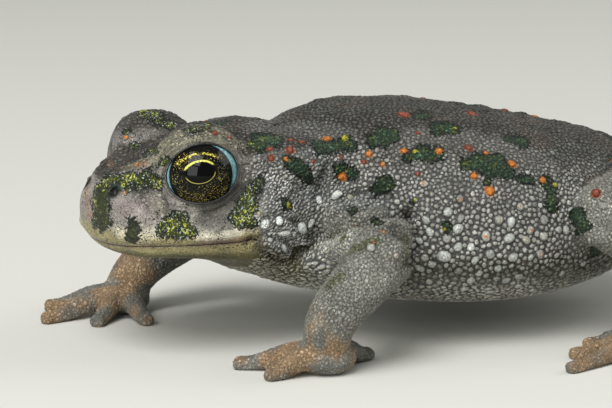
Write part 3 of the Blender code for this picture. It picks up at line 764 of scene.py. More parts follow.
# The lids over the eyeball: their height at the edge and the flesh behind it in millimetres,
# and how wide they are, with the opening's edge as 1
LID_EDGE = 0.2
LID_FLESH = 0.62
LID_WIDE = 1.38
LID_BLEND = 1.65
LID_ROLL_HEIGHT = 0.1
# Furrows round the lids: place, width and depth
LID_FURROWS = ((1.24, 0.06, 0.10), (1.42, 0.07, 0.08))


def shape_lids(points, sign):
    """The lids lie close to the eyeball at their edge, with a soft roll and furrows."""
    centre = np.array(eye_axes(sign)[0])
    reach, ring, rise, along, outer = eye_view(points, sign)
    lid = EYE_RADIUS + LID_EDGE + LID_FLESH * ramp(ring, 1.0, LID_WIDE)
    lid += LID_ROLL_HEIGHT * np.exp(-(((ring - 1.13) / 0.07) ** 2))
    below = ramp(rise, 0.1, -0.5)
    for place, width, depth in LID_FURROWS:
        lid -= depth * (0.5 + below) * np.exp(-(((ring - place) / width) ** 2))
    share = (1 - ramp(ring, LID_WIDE, LID_BLEND)) * ramp(reach, 7.5, 6.0)
    moved = reach + (lid - reach) * share
    return centre + (points - centre) * (moved / reach)[:, None]


def ribbon(points, across, thickness):
    """A thin wall through points, as wide as across to both sides."""
    bm = bmesh.new()
    row = [bm.verts.new(point - across) for point in points]
    edges = [bm.edges.new(pair) for pair in zip(row, row[1:])]
    grown = bmesh.ops.extrude_edge_only(bm, edges=edges)
    moved = [item for item in grown["geom"] if isinstance(item, bmesh.types.BMVert)]
    bmesh.ops.translate(bm, verts=moved, vec=across * 2)
    bmesh.ops.solidify(bm, geom=list(bm.faces), thickness=thickness * MM)
    return bm


def ball(radius, centre, rings):
    """A closed sphere."""
    bm = bmesh.new()
    bmesh.ops.create_uvsphere(bm, u_segments=rings * 2, v_segments=rings, radius=radius * MM)
    bmesh.ops.translate(bm, verts=bm.verts, vec=centre)
    return bm


def eye_window(sign):
    """The oval opening of the lids, from the eyeball's centre outward."""
    centre, outward, along, rise = eye_axes(sign)
    bm = bmesh.new()
    bmesh.ops.create_cone(
        bm, cap_ends=True, segments=96, radius1=MM, radius2=MM, depth=2 * EYE_RADIUS * MM
    )
    for vertex in bm.verts:
        a, b, depth = vertex.co
        vertex.co = centre + along * a * EYE_OPENING[0] + rise * b * EYE_OPENING[1]
        vertex.co += outward * (depth + EYE_RADIUS * MM)
    return bm


def put_in_order(mesh):
    """Sorts points and faces by place, because a Boolean leaves them in any order."""
    points = points_of(mesh)
    order = np.lexsort(points.T)
    rank = np.argsort(order).tolist()
    faces = []
    for face in mesh.polygons:
        corners = [rank[i] for i in face.vertices]
        first = corners.index(min(corners))
        faces.append(corners[first:] + corners[:first])
    mesh.clear_geometry()
    mesh.from_pydata(points[order].tolist(), [], sorted(faces))


def nostril_place(tree, sign):
    """The middle of a nostril on the skin."""
    aim = head_aim(0.6, sign, 0.5)
    place = on_head(NOSTRIL[0], NOSTRIL[1] * sign, NOSTRIL[2])
    return tree.ray_cast(place + aim * OUTSIDE * MM, -aim)[0]


def open_skin(skin):
    """Cuts the sockets, the openings of the lids, the nostrils and the line of the mouth."""
    tree = tree_of(skin)
    cutters = []
    line = [on_head(forward, 0, up) for forward, up in MOUTH_LINE]
    cutters.append(ribbon(line, head_aim(0, 1, 0) * OUTSIDE * MM, MOUTH_SLIT))
    for sign in (1, -1):
        cutters.append(ball(EYE_RADIUS + SOCKET_GAP, eye_axes(sign)[0], 40))
        cutters.append(eye_window(sign))
        cutters.append(ball(NOSTRIL_RADIUS, nostril_place(tree, sign), 16))
    for cutter in cutters:
        bmesh.ops.triangulate(cutter, faces=cutter.faces)
        bmesh.ops.recalc_face_normals(cutter, faces=cutter.faces)
        tool = object_of("opening", cutter)
        boolean = skin.modifiers.new("Open", "BOOLEAN")
        boolean.operation = "DIFFERENCE"
        boolean.solver = "EXACT"
        boolean.object = tool
        apply_modifiers(skin)
        bpy.data.objects.remove(tool)
    put_in_order(skin.data)


def thin_skin(skin):
    """Fewer triangles where the skin is plain."""
    skin.data.calc_loop_triangles()
    thin = skin.modifiers.new("Thin", "DECIMATE")
    thin.ratio = min(1.0, SKIN_TRIANGLES / len(skin.data.loop_triangles))
    apply_modifiers(skin)


# Green blotches: runs of pixel places in the photograph, each with its radius in pixels
BLOTCHES = (
    ((103, 188, 8), (101, 205, 10), (101, 221, 10)),
    (
        (104, 182, 5), (112, 181, 7), (122, 182, 9), (133, 180, 8), (145, 178, 9), (154, 181, 9),
        (161, 187, 4),
    ),
    ((158, 165, 4), (166, 160, 5)),
    ((132, 220, 6), (133, 236, 8)),
    ((165, 228, 10), (178, 226, 14), (190, 230, 9)),
    ((261, 177, 5), (254, 189, 7), (247, 202, 10), (243, 213, 11), (236, 220, 8), (253, 222, 6)),
    ((184, 131, 3), (196, 129, 4), (209, 127, 4)),
    ((128, 113, 5), (143, 112, 7), (158, 117, 8), (171, 125, 5)),
    ((126, 132, 4),),
    ((135, 146, 5),),
    ((146, 153, 3), (156, 151, 3)),
    ((91, 171, 5), (86, 180, 5)),
    ((256, 143, 9), (264, 141, 11), (273, 139, 10)),
    ((288, 161, 6), (297, 165, 8), (304, 173, 7), (309, 181, 4)),
    ((319, 146, 9), (331, 146, 8), (345, 143, 8), (352, 144, 6)),
    ((342, 170, 9), (351, 173, 7)),
    ((374, 140, 8), (384, 137, 11), (394, 134, 7)),
    ((379, 189, 8), (387, 184, 9)),
    ((408, 156, 6), (422, 154, 10), (437, 153, 8)),
    ((434, 127, 6), (446, 128, 7), (456, 129, 6)),
    ((417, 115, 5), (428, 116, 4)),
    ((411, 203, 3.5),),
    ((447, 227, 6),),
    ((352, 211, 4),),
    ((287, 204, 7),),
    ((377, 222, 5),),
    ((466, 164, 8), (480, 163, 11), (496, 166, 13), (507, 171, 8)),
    ((487, 183, 5),),
    ((546, 181, 6), (551, 190, 7), (553, 200, 7), (551, 210, 5)),
    ((519, 178, 5), (530, 180, 5)),
    ((577, 215, 8), (583, 226, 8)),
    ((508, 138, 5), (524, 142, 6)),
)
# Warts that stand out: pixel place, radius in millimetres and the colour of the tip
WARTS = (
    (291, 140, 0.42, "red"), (302, 142, 0.42, "red"), (270, 149, 0.4, "red"), (290, 150, 0.5, "red"),
    (271, 158, 0.42, "red"), (286, 159, 0.3, "orange"), (313, 161, 0.3, "red"), (313, 168, 0.25, "red"),
    (327, 139, 0.55, "orange"), (345, 138, 0.55, "yellow"), (369, 154, 0.5, "orange"),
    (364, 162, 0.35, "red"), (383, 164, 0.35, "orange"), (341, 157, 0.3, "red"),
    (342, 177, 0.55, "orange"), (404, 115, 0.8, "red"), (472, 114, 0.7, "red"), (418, 133, 0.35, "red"),
    (404, 151, 0.5, "orange"), (415, 152, 0.45, "yellow"), (439, 151, 0.5, "orange"),
    (469, 148, 0.5, "red"), (486, 153, 0.35, "orange"), (512, 164, 0.6, "orange"),
    (474, 176, 0.5, "orange"), (490, 191, 0.65, "orange"), (418, 174, 0.35, "red"),
    (424, 184, 0.45, "rose"), (460, 199, 0.45, "rose"), (520, 207, 0.45, "rose"),
    (543, 180, 0.5, "orange"), (555, 185, 0.45, "yellow"), (530, 230, 0.5, "rose"),
    (526, 240, 0.5, "cream"), (486, 236, 0.59, "rose"), (540, 254, 0.54, "rose"),
    (215, 133, 0.38, "red"), (230, 137, 0.38, "red"), (224, 133, 0.25, "red"),
    (125, 193, 0.3, "orange"), (126, 138, 0.35, "orange"), (137, 164, 0.25, "orange"),
    (259, 214, 0.3, "yellow"), (288, 205, 0.4, "yellow"), (286, 176, 0.27, "cream"),
    (415, 200, 0.35, "yellow"), (455, 129, 0.35, "yellow"), (445, 229, 0.3, "yellow"),
    (284, 233, 0.58, "bright"), (302, 228, 0.66, "bright"), (311, 223, 0.5, "bright"),
    (265, 224, 0.57, "bright"), (279, 221, 0.53, "bright"), (284, 248, 0.49, "white"),
    (270, 240, 0.37, "white"), (294, 234, 0.36, "bright"), (319, 200, 0.49, "bright"),
    (337, 195, 0.61, "white"), (350, 197, 0.36, "cream"), (301, 193, 0.33, "white"),
    (448, 212, 0.57, "white"), (458, 229, 0.61, "white"), (426, 220, 0.49, "white"),
    (430, 232, 0.49, "white"), (444, 256, 0.78, "white"), (458, 247, 0.53, "white"),
    (471, 247, 0.49, "white"), (490, 254, 0.57, "white"), (475, 260, 0.49, "white"),
    (513, 257, 0.61, "white"), (511, 222, 0.57, "white"), (509, 238, 0.61, "white"),
    (499, 220, 0.54, "cream"), (544, 220, 0.53, "pale"), (498, 268, 0.49, "white"),
    (371, 248, 0.49, "pale"), (396, 256, 0.36, "rose"), (384, 232, 0.3, "orange"),
    (374, 243, 0.3, "red"), (346, 227, 0.23, "rose"), (356, 224, 0.23, "rose"),
    (596, 193, 0.6, "red"), (603, 206, 0.49, "pale"), (590, 240, 0.41, "pale"),
)
# The tips of pale granules, with how strongly the colour shows
TIPS = {
    # bright: the whitest tips, for granules of the neck that lie in a fold's shade: their own white, with
    # painted light
    "bright": (0.66, 0.70, 0.65, 0.95),
    "white": (0.48, 0.51, 0.47, 0.8),
    "pale": (0.30, 0.31, 0.285, 0.6),
    "rose": (0.34, 0.345, 0.31, 0.7),
    "cream": (0.36, 0.35, 0.29, 0.7),
    "none": (0.0, 0.0, 0.0, 0.0),
}
# The coloured spots on warts: radius as a share of the wart's, and colour
SPOTS = {
    "red": (1.0, (0.220, 0.052, 0.026)),
    "orange": (0.95, (0.480, 0.150, 0.024)),
    "yellow": (0.80, (0.350, 0.290, 0.025)),
    "rose": (0.66, (0.440, 0.155, 0.050)),
    "cream": (0.66, (0.430, 0.320, 0.120)),
}
# The granule under a coloured spot, as a share of the wart's radius
BEADS = {"red": 0.7, "orange": 0.75, "yellow": 0.75}
# What grows where the photograph doesn't show the skin
HIDDEN_KINDS = {"red": 0.24, "orange": 0.28, "rose": 0.16, "yellow": 0.08, "pale": 0.12, "white": 0.12}
# The colours of the skin's regions
COLOURS = {
    "back": (0.030, 0.028, 0.023),
    "brown": (0.055, 0.040, 0.028),
    "flank": (0.185, 0.183, 0.166),
    # low: the colour of painted shade on skin that turns downward
    "low": (0.072, 0.070, 0.048),
    "belly": (0.480, 0.465, 0.380),
    "cheek": (0.345, 0.312, 0.272),
    "lip": (0.480, 0.420, 0.185),
    "snout": (0.046, 0.040, 0.032),
    "brow": (0.360, 0.335, 0.220),
    # throat: dark olive, for dirt and for painted shade under the head
    "throat": (0.088, 0.074, 0.010),
    "limb": (0.210, 0.207, 0.178),
    "digit": (0.330, 0.185, 0.070),
    # fold: the colour of painted shade in the folds and in a thin furrow of the snout
    "fold": (0.022, 0.021, 0.016),
    "mouth": (0.150, 0.080, 0.048),
    # lid: the colour of painted shade round and under the lids
    "lid": (0.045, 0.043, 0.034),
    "jowl": (0.640, 0.640, 0.580),
    "gland": (0.135, 0.132, 0.120),
    "olive": (0.075, 0.086, 0.028),
    "nape": (0.280, 0.305, 0.290),
    "chest": (0.560, 0.570, 0.440),
    "blush": (0.360, 0.285, 0.270),
    "under_eye": (0.520, 0.480, 0.360),
    "ridge": (0.330, 0.150, 0.070),
    # the colour of painted shade in the nostrils
    "pit": (0.004, 0.004, 0.004),
    # the cheek's pale skin, made brighter still as painted light where the eye's swelling shades the cheek
    "pale_cheek": (0.930, 0.880, 0.740),
    "limb_pale": (0.260, 0.260, 0.225),
}
# Where the skin departs from its region's colour: pixels of the photograph, reach and softness
# in millimetres, the colour and its share
TINTS = (
    (((262, 186), (280, 182), (291, 198), (282, 212), (264, 212)), 1.0, 1.0, "jowl", 0.85),
    (((305, 190), (330, 196), (352, 202), (375, 202)), 0.9, 1.0, "nape", 0.6),
    (((344, 236), (330, 250), (318, 264)), 1.2, 0.8, "chest", 0.9),
    (((276, 232), (290, 240), (300, 250)), 1.0, 0.8, "jowl", 0.95),
    # The pale skin of the cheek, with painted light under the eye, where the eye's swelling shades it
    (((204, 224), (220, 224), (236, 228), (226, 234), (204, 236)), 0.5, 0.7, "pale_cheek", 0.6),
    (((198, 218), (208, 217), (222, 216), (232, 214)), 1.2, 0.5, "pale_cheek", 1.0),
    (((160, 232), (140, 238), (116, 232)), 0.3, 0.7, "pale_cheek", 0.35),
    (((578, 196), (600, 205), (606, 225)), 1.0, 1.0, "limb_pale", 0.7),
    # painted shade of a thin furrow on the snout
    (((112, 168), (120, 163), (127, 159)), 0.05, 0.25, "fold", 0.6),
    (((258, 127), (284, 130), (312, 132), (340, 138)), 1.0, 1.4, "gland", 0.75),
    (((124, 207), (142, 205), (156, 200)), 0.5, 0.8, "blush", 0.6),
    (((157, 192), (160, 206), (172, 214)), 0.5, 0.6, "under_eye", 0.9),
    (((112, 172), (122, 169), (135, 166), (146, 163)), 0.10, 0.25, "ridge", 0.85),
    (((94, 168), (89, 182), (87, 198), (88, 214)), 0.3, 0.5, "ridge", 0.55),
    (((200, 243), (225, 242), (254, 238)), 0.18, 0.4, "mouth", 0.75),
    (((343, 236),), 0.5, 0.4, "olive", 0.9),
    (((400, 141), (440, 139), (480, 142), (520, 152), (545, 166)), 1.0, 1.6, "gland", 0.85),
    (((317, 158), (321, 172), (319, 186)), 0.8, 0.8, "nape", 1.0),
    (((350, 251), (360, 247), (375, 242)), 0.4, 0.6, "olive", 0.85),
    (((330, 284), (338, 278)), 0.5, 0.6, "olive", 0.8),
    (((405, 240), (406, 252)), 0.3, 0.5, "olive", 0.8),
    # painted shade under the chin, in the olive colour
    (((172, 255), (202, 258), (232, 257)), 0.2, 0.4, "olive", 0.75),
)
# Blotches of the face with few bright flecks: pixels of the photograph
DULL_BLOTCHES = (((103, 192), (101, 208), (101, 222)), ((133, 222), (134, 237)))
ARM_NODES = ("upper_arm", "forearm", "hand")
LIMB_NODES = ARM_NODES + ("thigh", "shank", "ankle", "foot")
# How many times the borders between nodes are blurred on the skin
BORDER_STEPS = 14


def node_shares(points, mesh):
    """For each kind of CAD node, how much each vertex belongs to it, soft at the borders."""
    names = sorted(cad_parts)
    kinds = [name.replace("_left", "").replace("_right", "") for name in names]
    meshes = [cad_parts[name].data for name in names]
    labels = [kind for kind, solid in zip(kinds, meshes) for vertex in solid.vertices]
    tree = place_tree([vertex.co for solid in meshes for vertex in solid.vertices])
    found = [labels[tree.find(point)[1]] for point in points]
    edges = np.zeros(len(mesh.edges) * 2, np.int32)
    mesh.edges.foreach_get("vertices", edges)
    edges = edges.reshape(-1, 2)
    count = np.bincount(edges.ravel(), minlength=len(points))[:, None]
    kinds = sorted(set(kinds))
    shares = np.array([[kind == label for kind in kinds] for label in found], float)
    for step in range(BORDER_STEPS):
        total = np.zeros_like(shares)
        np.add.at(total, edges[:, 0], shares[edges[:, 1]])
        np.add.at(total, edges[:, 1], shares[edges[:, 0]])
        shares = (shares + total) / (1 + count)
    return {kind: shares[:, i] for i, kind in enumerate(kinds)}


def mixed(base, colour, share):
    """Rows of colour, mixed towards one of the named colours."""
    return base + (np.array(COLOURS[colour]) - base) * share[:, None]


def uneven(points, size, seed):
    """Smooth random values about 0 over the points, with swellings of this size in millimetres."""
    scale, shift = 1 / (size * MM), Vector((seed, 0.37 * seed, 1.7 * seed))
    return np.array([noise.noise(Vector(point) * scale + shift) for point in points])


def regions(skin):
    """Every property of the skin that changes slowly over it, as one value for each vertex."""
    mesh = skin.data
    points, normals = points_of(mesh), normals_of(mesh)
    forward, left, height = body_terms(points)
    head_forward, head_left, head_up = head_terms(points)
    share = node_shares(points, mesh)
    limb = sum(share[kind] for kind in LIMB_NODES)
    arm = sum(share[kind] for kind in ARM_NODES)
    digit = share["hand"] * 0.8 + share["foot"] * 0.8
    jaw = share["lower_jaw"]
    head = share["head"] + jaw + share["eye"] + share["ear"]
    trunk = share["torso"]
    up = normals[:, 2]
    back = ramp(up, 0.5, 0.92) * (trunk + head)
    belly = ramp(up, -0.1, -0.75) * (trunk + jaw + head)
    face = head * ramp(head_forward, -6.6, -3.8)
    cheek = face * ramp(up, 0.75, 0.4)
    top = face * ramp(up, 0.45, 0.75)
    lip = face * ramp(head_up, 1.9, 0.5) * ramp(up, 0.6, 0.3)
    throat = ramp(head_up, -0.8, -1.7) * (head + trunk * ramp(forward, -16.0, -11.0))
    neck = (trunk + head * ramp(head_forward, -3.0, -6.0)) * ramp(forward, -20.0, -15.0)
    neck = np.clip(neck * ramp(height, 21.0, 18.0), 0.0, 1.0)
    coarse, fine = uneven(points, 5.0, 3.0), uneven(points, 1.6, 11.0)
    base = np.tile(np.array(COLOURS["flank"]), (len(points), 1))
    base = mixed(base, "back", back)
    base = mixed(base, "brown", back * ramp(coarse + 0.6 * fine, 0.0, 0.35) * 0.7)
    base = mixed(base, "limb", limb)
    base = mixed(base, "snout", top)
    base = mixed(base, "cheek", cheek)
    for sign in (1, -1):
        reach, ring, rise, along, outer = eye_view(points, sign)
        over = ramp(ring, 1.9, 1.4) * ramp(rise, 0.2, 0.7) * (reach < 8) * (1 - jaw)
        if sign > 0:
            speckled = over
        base = mixed(base, "brow" if sign > 0 else "gland", over * (0.85 if sign > 0 else 0.5))
    base = mixed(base, "lip", lip)
    # Painted shade where the skin of the body turns downward, below the flank
    base = mixed(base, "low", ramp(up, 0.0, -0.4) * (trunk + head) * (1 - face) * 0.85)
    under = trunk + (jaw + head) * ramp(head_up, -1.6, -2.8)
    base = mixed(base, "belly", ramp(up, -0.55, -0.9) * under * 0.9)
    # The throat's dark olive: dirt, and painted shade under the head
    base = mixed(base, "throat", throat * 0.85)
    base = mixed(base, "digit", digit * ramp(coarse + 0.5 * fine, -0.35, 0.15) * 0.85)
    base *= (1 + 0.35 * np.clip(coarse + 0.8 * fine, -0.7, 0.9) * (1 - 0.6 * face))[:, None]
    high = ramp(height, 11.0, 18.5) * trunk * (1 - back)
    bare = np.clip(cheek + 0.9 * lip + 0.75 * top + digit * 0.8, 0, 1)
    size = 0.30 * trunk * (1 - back) + 0.25 * back + 0.33 * belly + 0.19 * limb
    size += 0.20 * head * (1 - back) * (1 - belly)
    pale = 0.95 * trunk * (1 - back) * (1 - belly) + 0.2 * back + 0.25 * belly + 0.75 * neck - 0.32 * high
    return {
        "points": points,
        "normals": normals,
        "ground": base,
        "limb": limb,
        "arm": arm,
        "digit": digit,
        "head": head,
        "face": face,
        "cheek": cheek,
        "top": top,
        "back": back,
        "belly": belly,
        "neck": neck,
        "flank": np.clip(trunk * (1 - back) * (1 - belly), 0.0, 1.0),
        "bare": bare,
        "size": np.clip(size * 0.9, 0.12, 0.3) * (1 - 0.15 * neck) * (1 - 0.2 * high),
        "high": high,
        "pale": np.clip(pale + 0.22 * limb, 0, 1),
        "freckles": np.clip(cheek + top * 0.55 + head * 0.2 + 0.6 * speckled, 0, 1),
    }


def tint(tree, field):
    """Lays the tints of single places over the regions' colours, on both sides."""
    for pixels, reach, soft, colour, share in TINTS:
        for side in both_sides(tree, pixels):
            gap = chain_gap(field["points"], side, [reach * MM] * len(side)) / MM
            field["ground"] = mixed(field["ground"], colour, share * ramp(gap, soft, 0.0))


def crease_depth(points, chains):
    """How much painted shade each vertex gets from lying in a fold."""
    dark = np.zeros(len(points))
    for side, width in chains:
        gap = np.maximum(chain_gap(points, side, [0.0] * len(side)), 0.0) / (width * MM)
        dark = np.maximum(dark, np.exp(-gap * gap))
    return dark


def give(mesh, name, values):
    """An attribute of the mesh's vertices, from one value or one colour for each."""
    values = np.asarray(values, np.float32)
    if values.ndim == 1:
        layer = mesh.attributes.new(name, "FLOAT", "POINT")
        layer.data.foreach_set("value", values)
        return
    if values.shape[1] == 3:
        values = np.column_stack([values, np.ones(len(values), np.float32)])
    layer = mesh.attributes.new(name, "FLOAT_COLOR", "POINT")
    layer.data.foreach_set("color", values.ravel())


# How far below the first skin that the camera meets a place may lie and still count as shown
HIDDEN_DEPTH = 2.0
# How far back on the head a blotch is repeated on the other side
FACE_BACK = -7.5
# Marks that the photograph doesn't show: how many places are tried, and the marks' spacing
HIDDEN_TRIES = 6000
BLOTCH_SPACING = 5.2
WART_SPACING = 3.6
# How much further than its radius a blotch of the photograph may reach on skin that slants away
BLOTCH_SLANT = 1.3
# How far round a blotch or a spot its field is worked out
BLOTCH_MARGIN = 3.5
SPOT_MARGIN = 0.6


def give_ways(mesh, name, values):
    """An attribute of the mesh's vertices, from one vector for each."""
    layer = mesh.attributes.new(name, "FLOAT_VECTOR", "POINT")
    layer.data.foreach_set("vector", np.asarray(values, np.float32).ravel())


def is_shown(tree, place):
    """Whether the photograph shows this place of the skin."""
    right, up, ahead_of = view_axes()
    offset = place - camera_place()
    across = offset.dot(right) / offset.dot(ahead_of) * VIEW_DISTANCE * PIXELS_PER_MM
    hit = tree.ray_cast(camera_place(), offset.normalized())[0]
    return abs(across) < PHOTO[0] / 2 and hit is not None and (hit - place).length < HIDDEN_DEPTH * MM


def hidden_places(tree, field, rng, spacing, wanted, taken):
    """Places that the photograph doesn't show, spread over the parts of the skin where wanted."""
    kept = []
    for i in rng.permutation(np.flatnonzero(wanted > 0.5))[:HIDDEN_TRIES]:
        place = Vector(field["points"][i])
        near = min(((place - other).length for other in taken + kept), default=1.0)
        if near > spacing * MM * rng.uniform(0.85, 1.3) and not is_shown(tree, place):
            kept.append(place)
    return kept


def blotch_chains(tree, field, rng):
    """Every blotch as places and radii in metres: those of the photograph, those of the face on
    the other side too, and others like them where it doesn't show the skin."""
    chains = []
    for blotch in BLOTCHES:
        spots = [(seen(tree, x, y)[0], radius / PIXELS_PER_MM * MM) for x, y, radius in blotch]
        spots = [(place, radius) for place, radius in spots if place is not None]
        if not spots:
            continue
        radii = [radius for place, radius in spots]
        chains.append((np.array([place for place, radius in spots]), radii, True))
        other = [(tree.find_nearest(mirrored_place(place))[0], radius * 0.9) for place, radius in spots]
        on_face = head_terms(np.array([place for place, radius in other]))[0].min() > FACE_BACK
        other = [spot for spot in other if not is_shown(tree, spot[0])]
        if on_face and other:
            places = np.array([place for place, radius in other])
            chains.append((places, [radius for place, radius in other], False))
    taken = [Vector(place) for places, radii, in_photo in chains for place in places]
    wanted = np.maximum(field["back"] + field["flank"] * 0.8, field["limb"] * 0.9)
    wanted = wanted * (1 - field["belly"]) * (1 - field["digit"]) * (1 - field["face"])
    wanted = wanted * (field["points"][:, 2] > 6 * MM) * (1 - field["neck"]) * (field["crease"] < 0.1)
    for place in hidden_places(tree, field, rng, BLOTCH_SPACING, wanted, taken):
        normal = tree.find_nearest(place)[1]
        turn = Matrix.Rotation(rng.uniform(0, math.tau), 3, normal)
        step = turn @ normal.orthogonal().normalized()
        size = rng.uniform(0.65, 1.25)
        run = [tree.find_nearest(place + step * offset * size * MM)[0] for offset in (-1, 0, 1)]
        radii = [size * rng.uniform(0.5, 1.0) * MM for spot in run]
        chains.append((np.array(run), radii, False))
    return chains


def flat_places(points):
    """Points as the camera sees them, in metres across the picture at the toad's distance."""
    right, up, ahead_of = (np.array(axis) for axis in view_axes())
    offset = points - np.array(camera_place())
    scale = VIEW_DISTANCE * MM / (offset @ ahead_of)
    return np.column_stack([offset @ right * scale, offset @ up * scale])


def blotch_field(points, chains):
    """How far inside a blotch each point is, in millimetres; below 0 outside."""
    inside = np.full(len(points), -9.0)
    for places, radii, in_photo in chains:
        low = places.min(axis=0) - BLOTCH_MARGIN * MM
        high = places.max(axis=0) + BLOTCH_MARGIN * MM
        near = np.flatnonzero(((points > low) & (points < high)).all(axis=1))
        if not len(near):
            continue
        gap = chain_gap(points[near], places, radii) / MM
        if in_photo:
            flat = chain_gap(flat_places(points[near]), flat_places(places), radii) / MM
            gap = np.minimum(gap, np.maximum(flat, gap - BLOTCH_SLANT))
        inside[near] = np.maximum(inside[near], -gap)
    return inside


def wart_places(tree, field, rng):
    """The photograph's warts and, where it doesn't show the skin, others of the same kinds:
    place, direction, radius and kind."""
    warts = [(*seen(tree, x, y), radius, kind) for x, y, radius, kind in WARTS]
    warts = [wart for wart in warts if wart[0] is not None]
    wanted = np.maximum(field["back"] + field["flank"], field["limb"] * 0.8) * (1 - field["belly"])
    wanted = wanted * (field["points"][:, 2] > 7 * MM) * (1 - field["face"])
    wanted = wanted * (field["normals"][:, 2] > -0.1) * (1 - field["neck"])
    taken = [wart[0] for wart in warts]
    for place in hidden_places(tree, field, rng, WART_SPACING, wanted, taken):
        kind = str(rng.choice(list(HIDDEN_KINDS), p=list(HIDDEN_KINDS.values())))
        spot, normal, face, distance = tree.find_nearest(place)
        warts.append((spot, normal, rng.uniform(0.35, 0.65), kind))
    return warts


def spot_field(points, warts):
    """How far inside a coloured spot each point is, in millimetres, and the spot's colour."""
    inside = np.full(len(points), -1.0)
    colour = np.zeros((len(points), 3))
    for place, normal, radius, kind in warts:
        if kind not in SPOTS:
            continue
        share, hue = SPOTS[kind]
        place = np.array(place)
        low, high = place - (radius + SPOT_MARGIN) * MM, place + (radius + SPOT_MARGIN) * MM
        near = np.flatnonzero(((points > low) & (points < high)).all(axis=1))
        depth = radius * share - np.linalg.norm(points[near] - place, axis=1) / MM
        deeper = depth > inside[near]
        inside[near[deeper]] = depth[deeper]
        colour[near[deeper]] = hue
    return inside, colour


# The coat of granules: domes in three grades of fineness, each (sides, rings, smallest radius)
GRADES = ((12, 6, 0.45), (8, 4, 0.26), (6, 4, 0.0))
CANDIDATES = 300000
# How close granules may start, how close they grow, and by how much at most
GRANULE_GAP = 0.84
TOUCH = 0.93
GROWTH = 1.4
# The share of large granules, and how deep a granule's foot reaches, in its radii
LARGE_SHARE = 0.006
SINK = 0.3
# The lightest that skin between granules may be, and the colour that it tends to: darker skin there, with
# painted shade between the granules
GAP_PALEST = 0.13
GAP_COLOUR = (0.030, 0.030, 0.024)
# The way that the rows of granules between head and arm lie: forward, left, up
ROW_LIE = (0.75, 0.0, -0.6)
COAT_PIECES = (
    "head", "trunk_left", "trunk_right", "belly", "arm_left", "arm_right", "leg_left", "leg_right",
)
CARRIED = (
    "points", "normals", "ground", "size", "bare", "pale", "flank", "belly", "neck", "limb",
    "head", "freckles", "socket", "crease", "high", "arm",
)
# The width of a granule's patch on the skin's map, and the triangles of the map's light skin
PATCH = 0.003
MAP_TRIANGLES = 24000


def dome(sides, rings):
    """A unit dome on a shallow foot, closed underneath: its vertices, triangles and, for each
    corner of them, its place on a flat patch from -1 to 1."""
    bm = bmesh.new()
    bmesh.ops.create_uvsphere(bm, u_segments=sides, v_segments=rings, radius=1.0)
    low = [vertex for vertex in bm.verts if vertex.co.z < -0.4]
    bmesh.ops.pointmerge(bm, verts=low, merge_co=(0.0, 0.0, -1.0))
    bmesh.ops.triangulate(bm, faces=bm.faces)
    bm.verts.index_update()
    places = np.array([vertex.co for vertex in bm.verts])
    corners = np.array([[vertex.index for vertex in face.verts] for face in bm.faces])
    bm.free()
    round_way = np.hypot(places[:, 0], places[:, 1])[:, None]
    polar = np.arccos(np.clip(places[:, 2], -1, 1))[:, None] / math.pi
    flat = places[:, :2] / np.maximum(round_way, 1e-9) * polar
    patch = flat[corners]
    foot = places[corners][:, :, 2] < -0.99
    outward = patch.sum(axis=1) / np.maximum(np.linalg.norm(patch.sum(axis=1), axis=1), 1e-9)[:, None]
    patch[foot] = np.repeat(outward[:, None], 3, axis=1)[foot]
    places[:, 2] = np.where(places[:, 2] > 0, np.abs(places[:, 2]) ** 0.8, np.maximum(places[:, 2], -SINK))
    return places, corners, patch


def sampled(mesh, count, rng):
    """Random places on the mesh: the triangles' corners and the weights of each corner."""
    mesh.calc_loop_triangles()
    corners = np.zeros(len(mesh.loop_triangles) * 3, np.int32)
    mesh.loop_triangles.foreach_get("vertices", corners)
    corners = corners.reshape(-1, 3)
    a, b, c = (points_of(mesh)[corners[:, i]] for i in range(3))
    area = np.linalg.norm(np.cross(b - a, c - a), axis=1)
    chosen = rng.choice(len(corners), count, p=area / area.sum())
    u, v = rng.random(count), rng.random(count)
    folded = u + v > 1
    u[folded], v[folded] = 1 - u[folded], 1 - v[folded]
    return corners[chosen], np.column_stack([1 - u - v, u, v])


def carried(values, corners, weights):
    """A vertex property read at sampled places."""
    if values.ndim == 1:
        return (values[corners] * weights).sum(axis=1)
    return (values[corners] * weights[:, :, None]).sum(axis=1)


def spread(places, radii, first):
    """Which of the granules stay, so that they lie beside each other: those from the number
    first on before the others, and the largest first."""
    order = np.lexsort((-radii, np.arange(len(radii)) < first))
    tree = place_tree(places)
    free = np.ones(len(places), bool)
    kept = []
    for i in order:
        if not free[i]:
            continue
        kept.append(i)
        reach = radii[i] * 2 * GRANULE_GAP * MM
        for place, other, distance in tree.find_range(places[i], reach):
            if distance < (radii[i] + radii[other]) * GRANULE_GAP * MM:
                free[other] = False
    return np.array(kept)


def grown(places, radii):
    """The granules' radii, each grown until it meets its nearest neighbour."""
    tree = place_tree(places)
    radii = radii.copy()
    for i, place in enumerate(places):
        room = min(
            distance / MM / TOUCH - radii[other]
            for spot, other, distance in tree.find_n(place, 7)
            if other != i
        )
        radii[i] = min(max(radii[i], room), radii[i] * GROWTH)
    return radii


def rows_of(beads, chosen):
    """The same table with only the chosen rows."""
    return {name: values[chosen] for name, values in beads.items()}


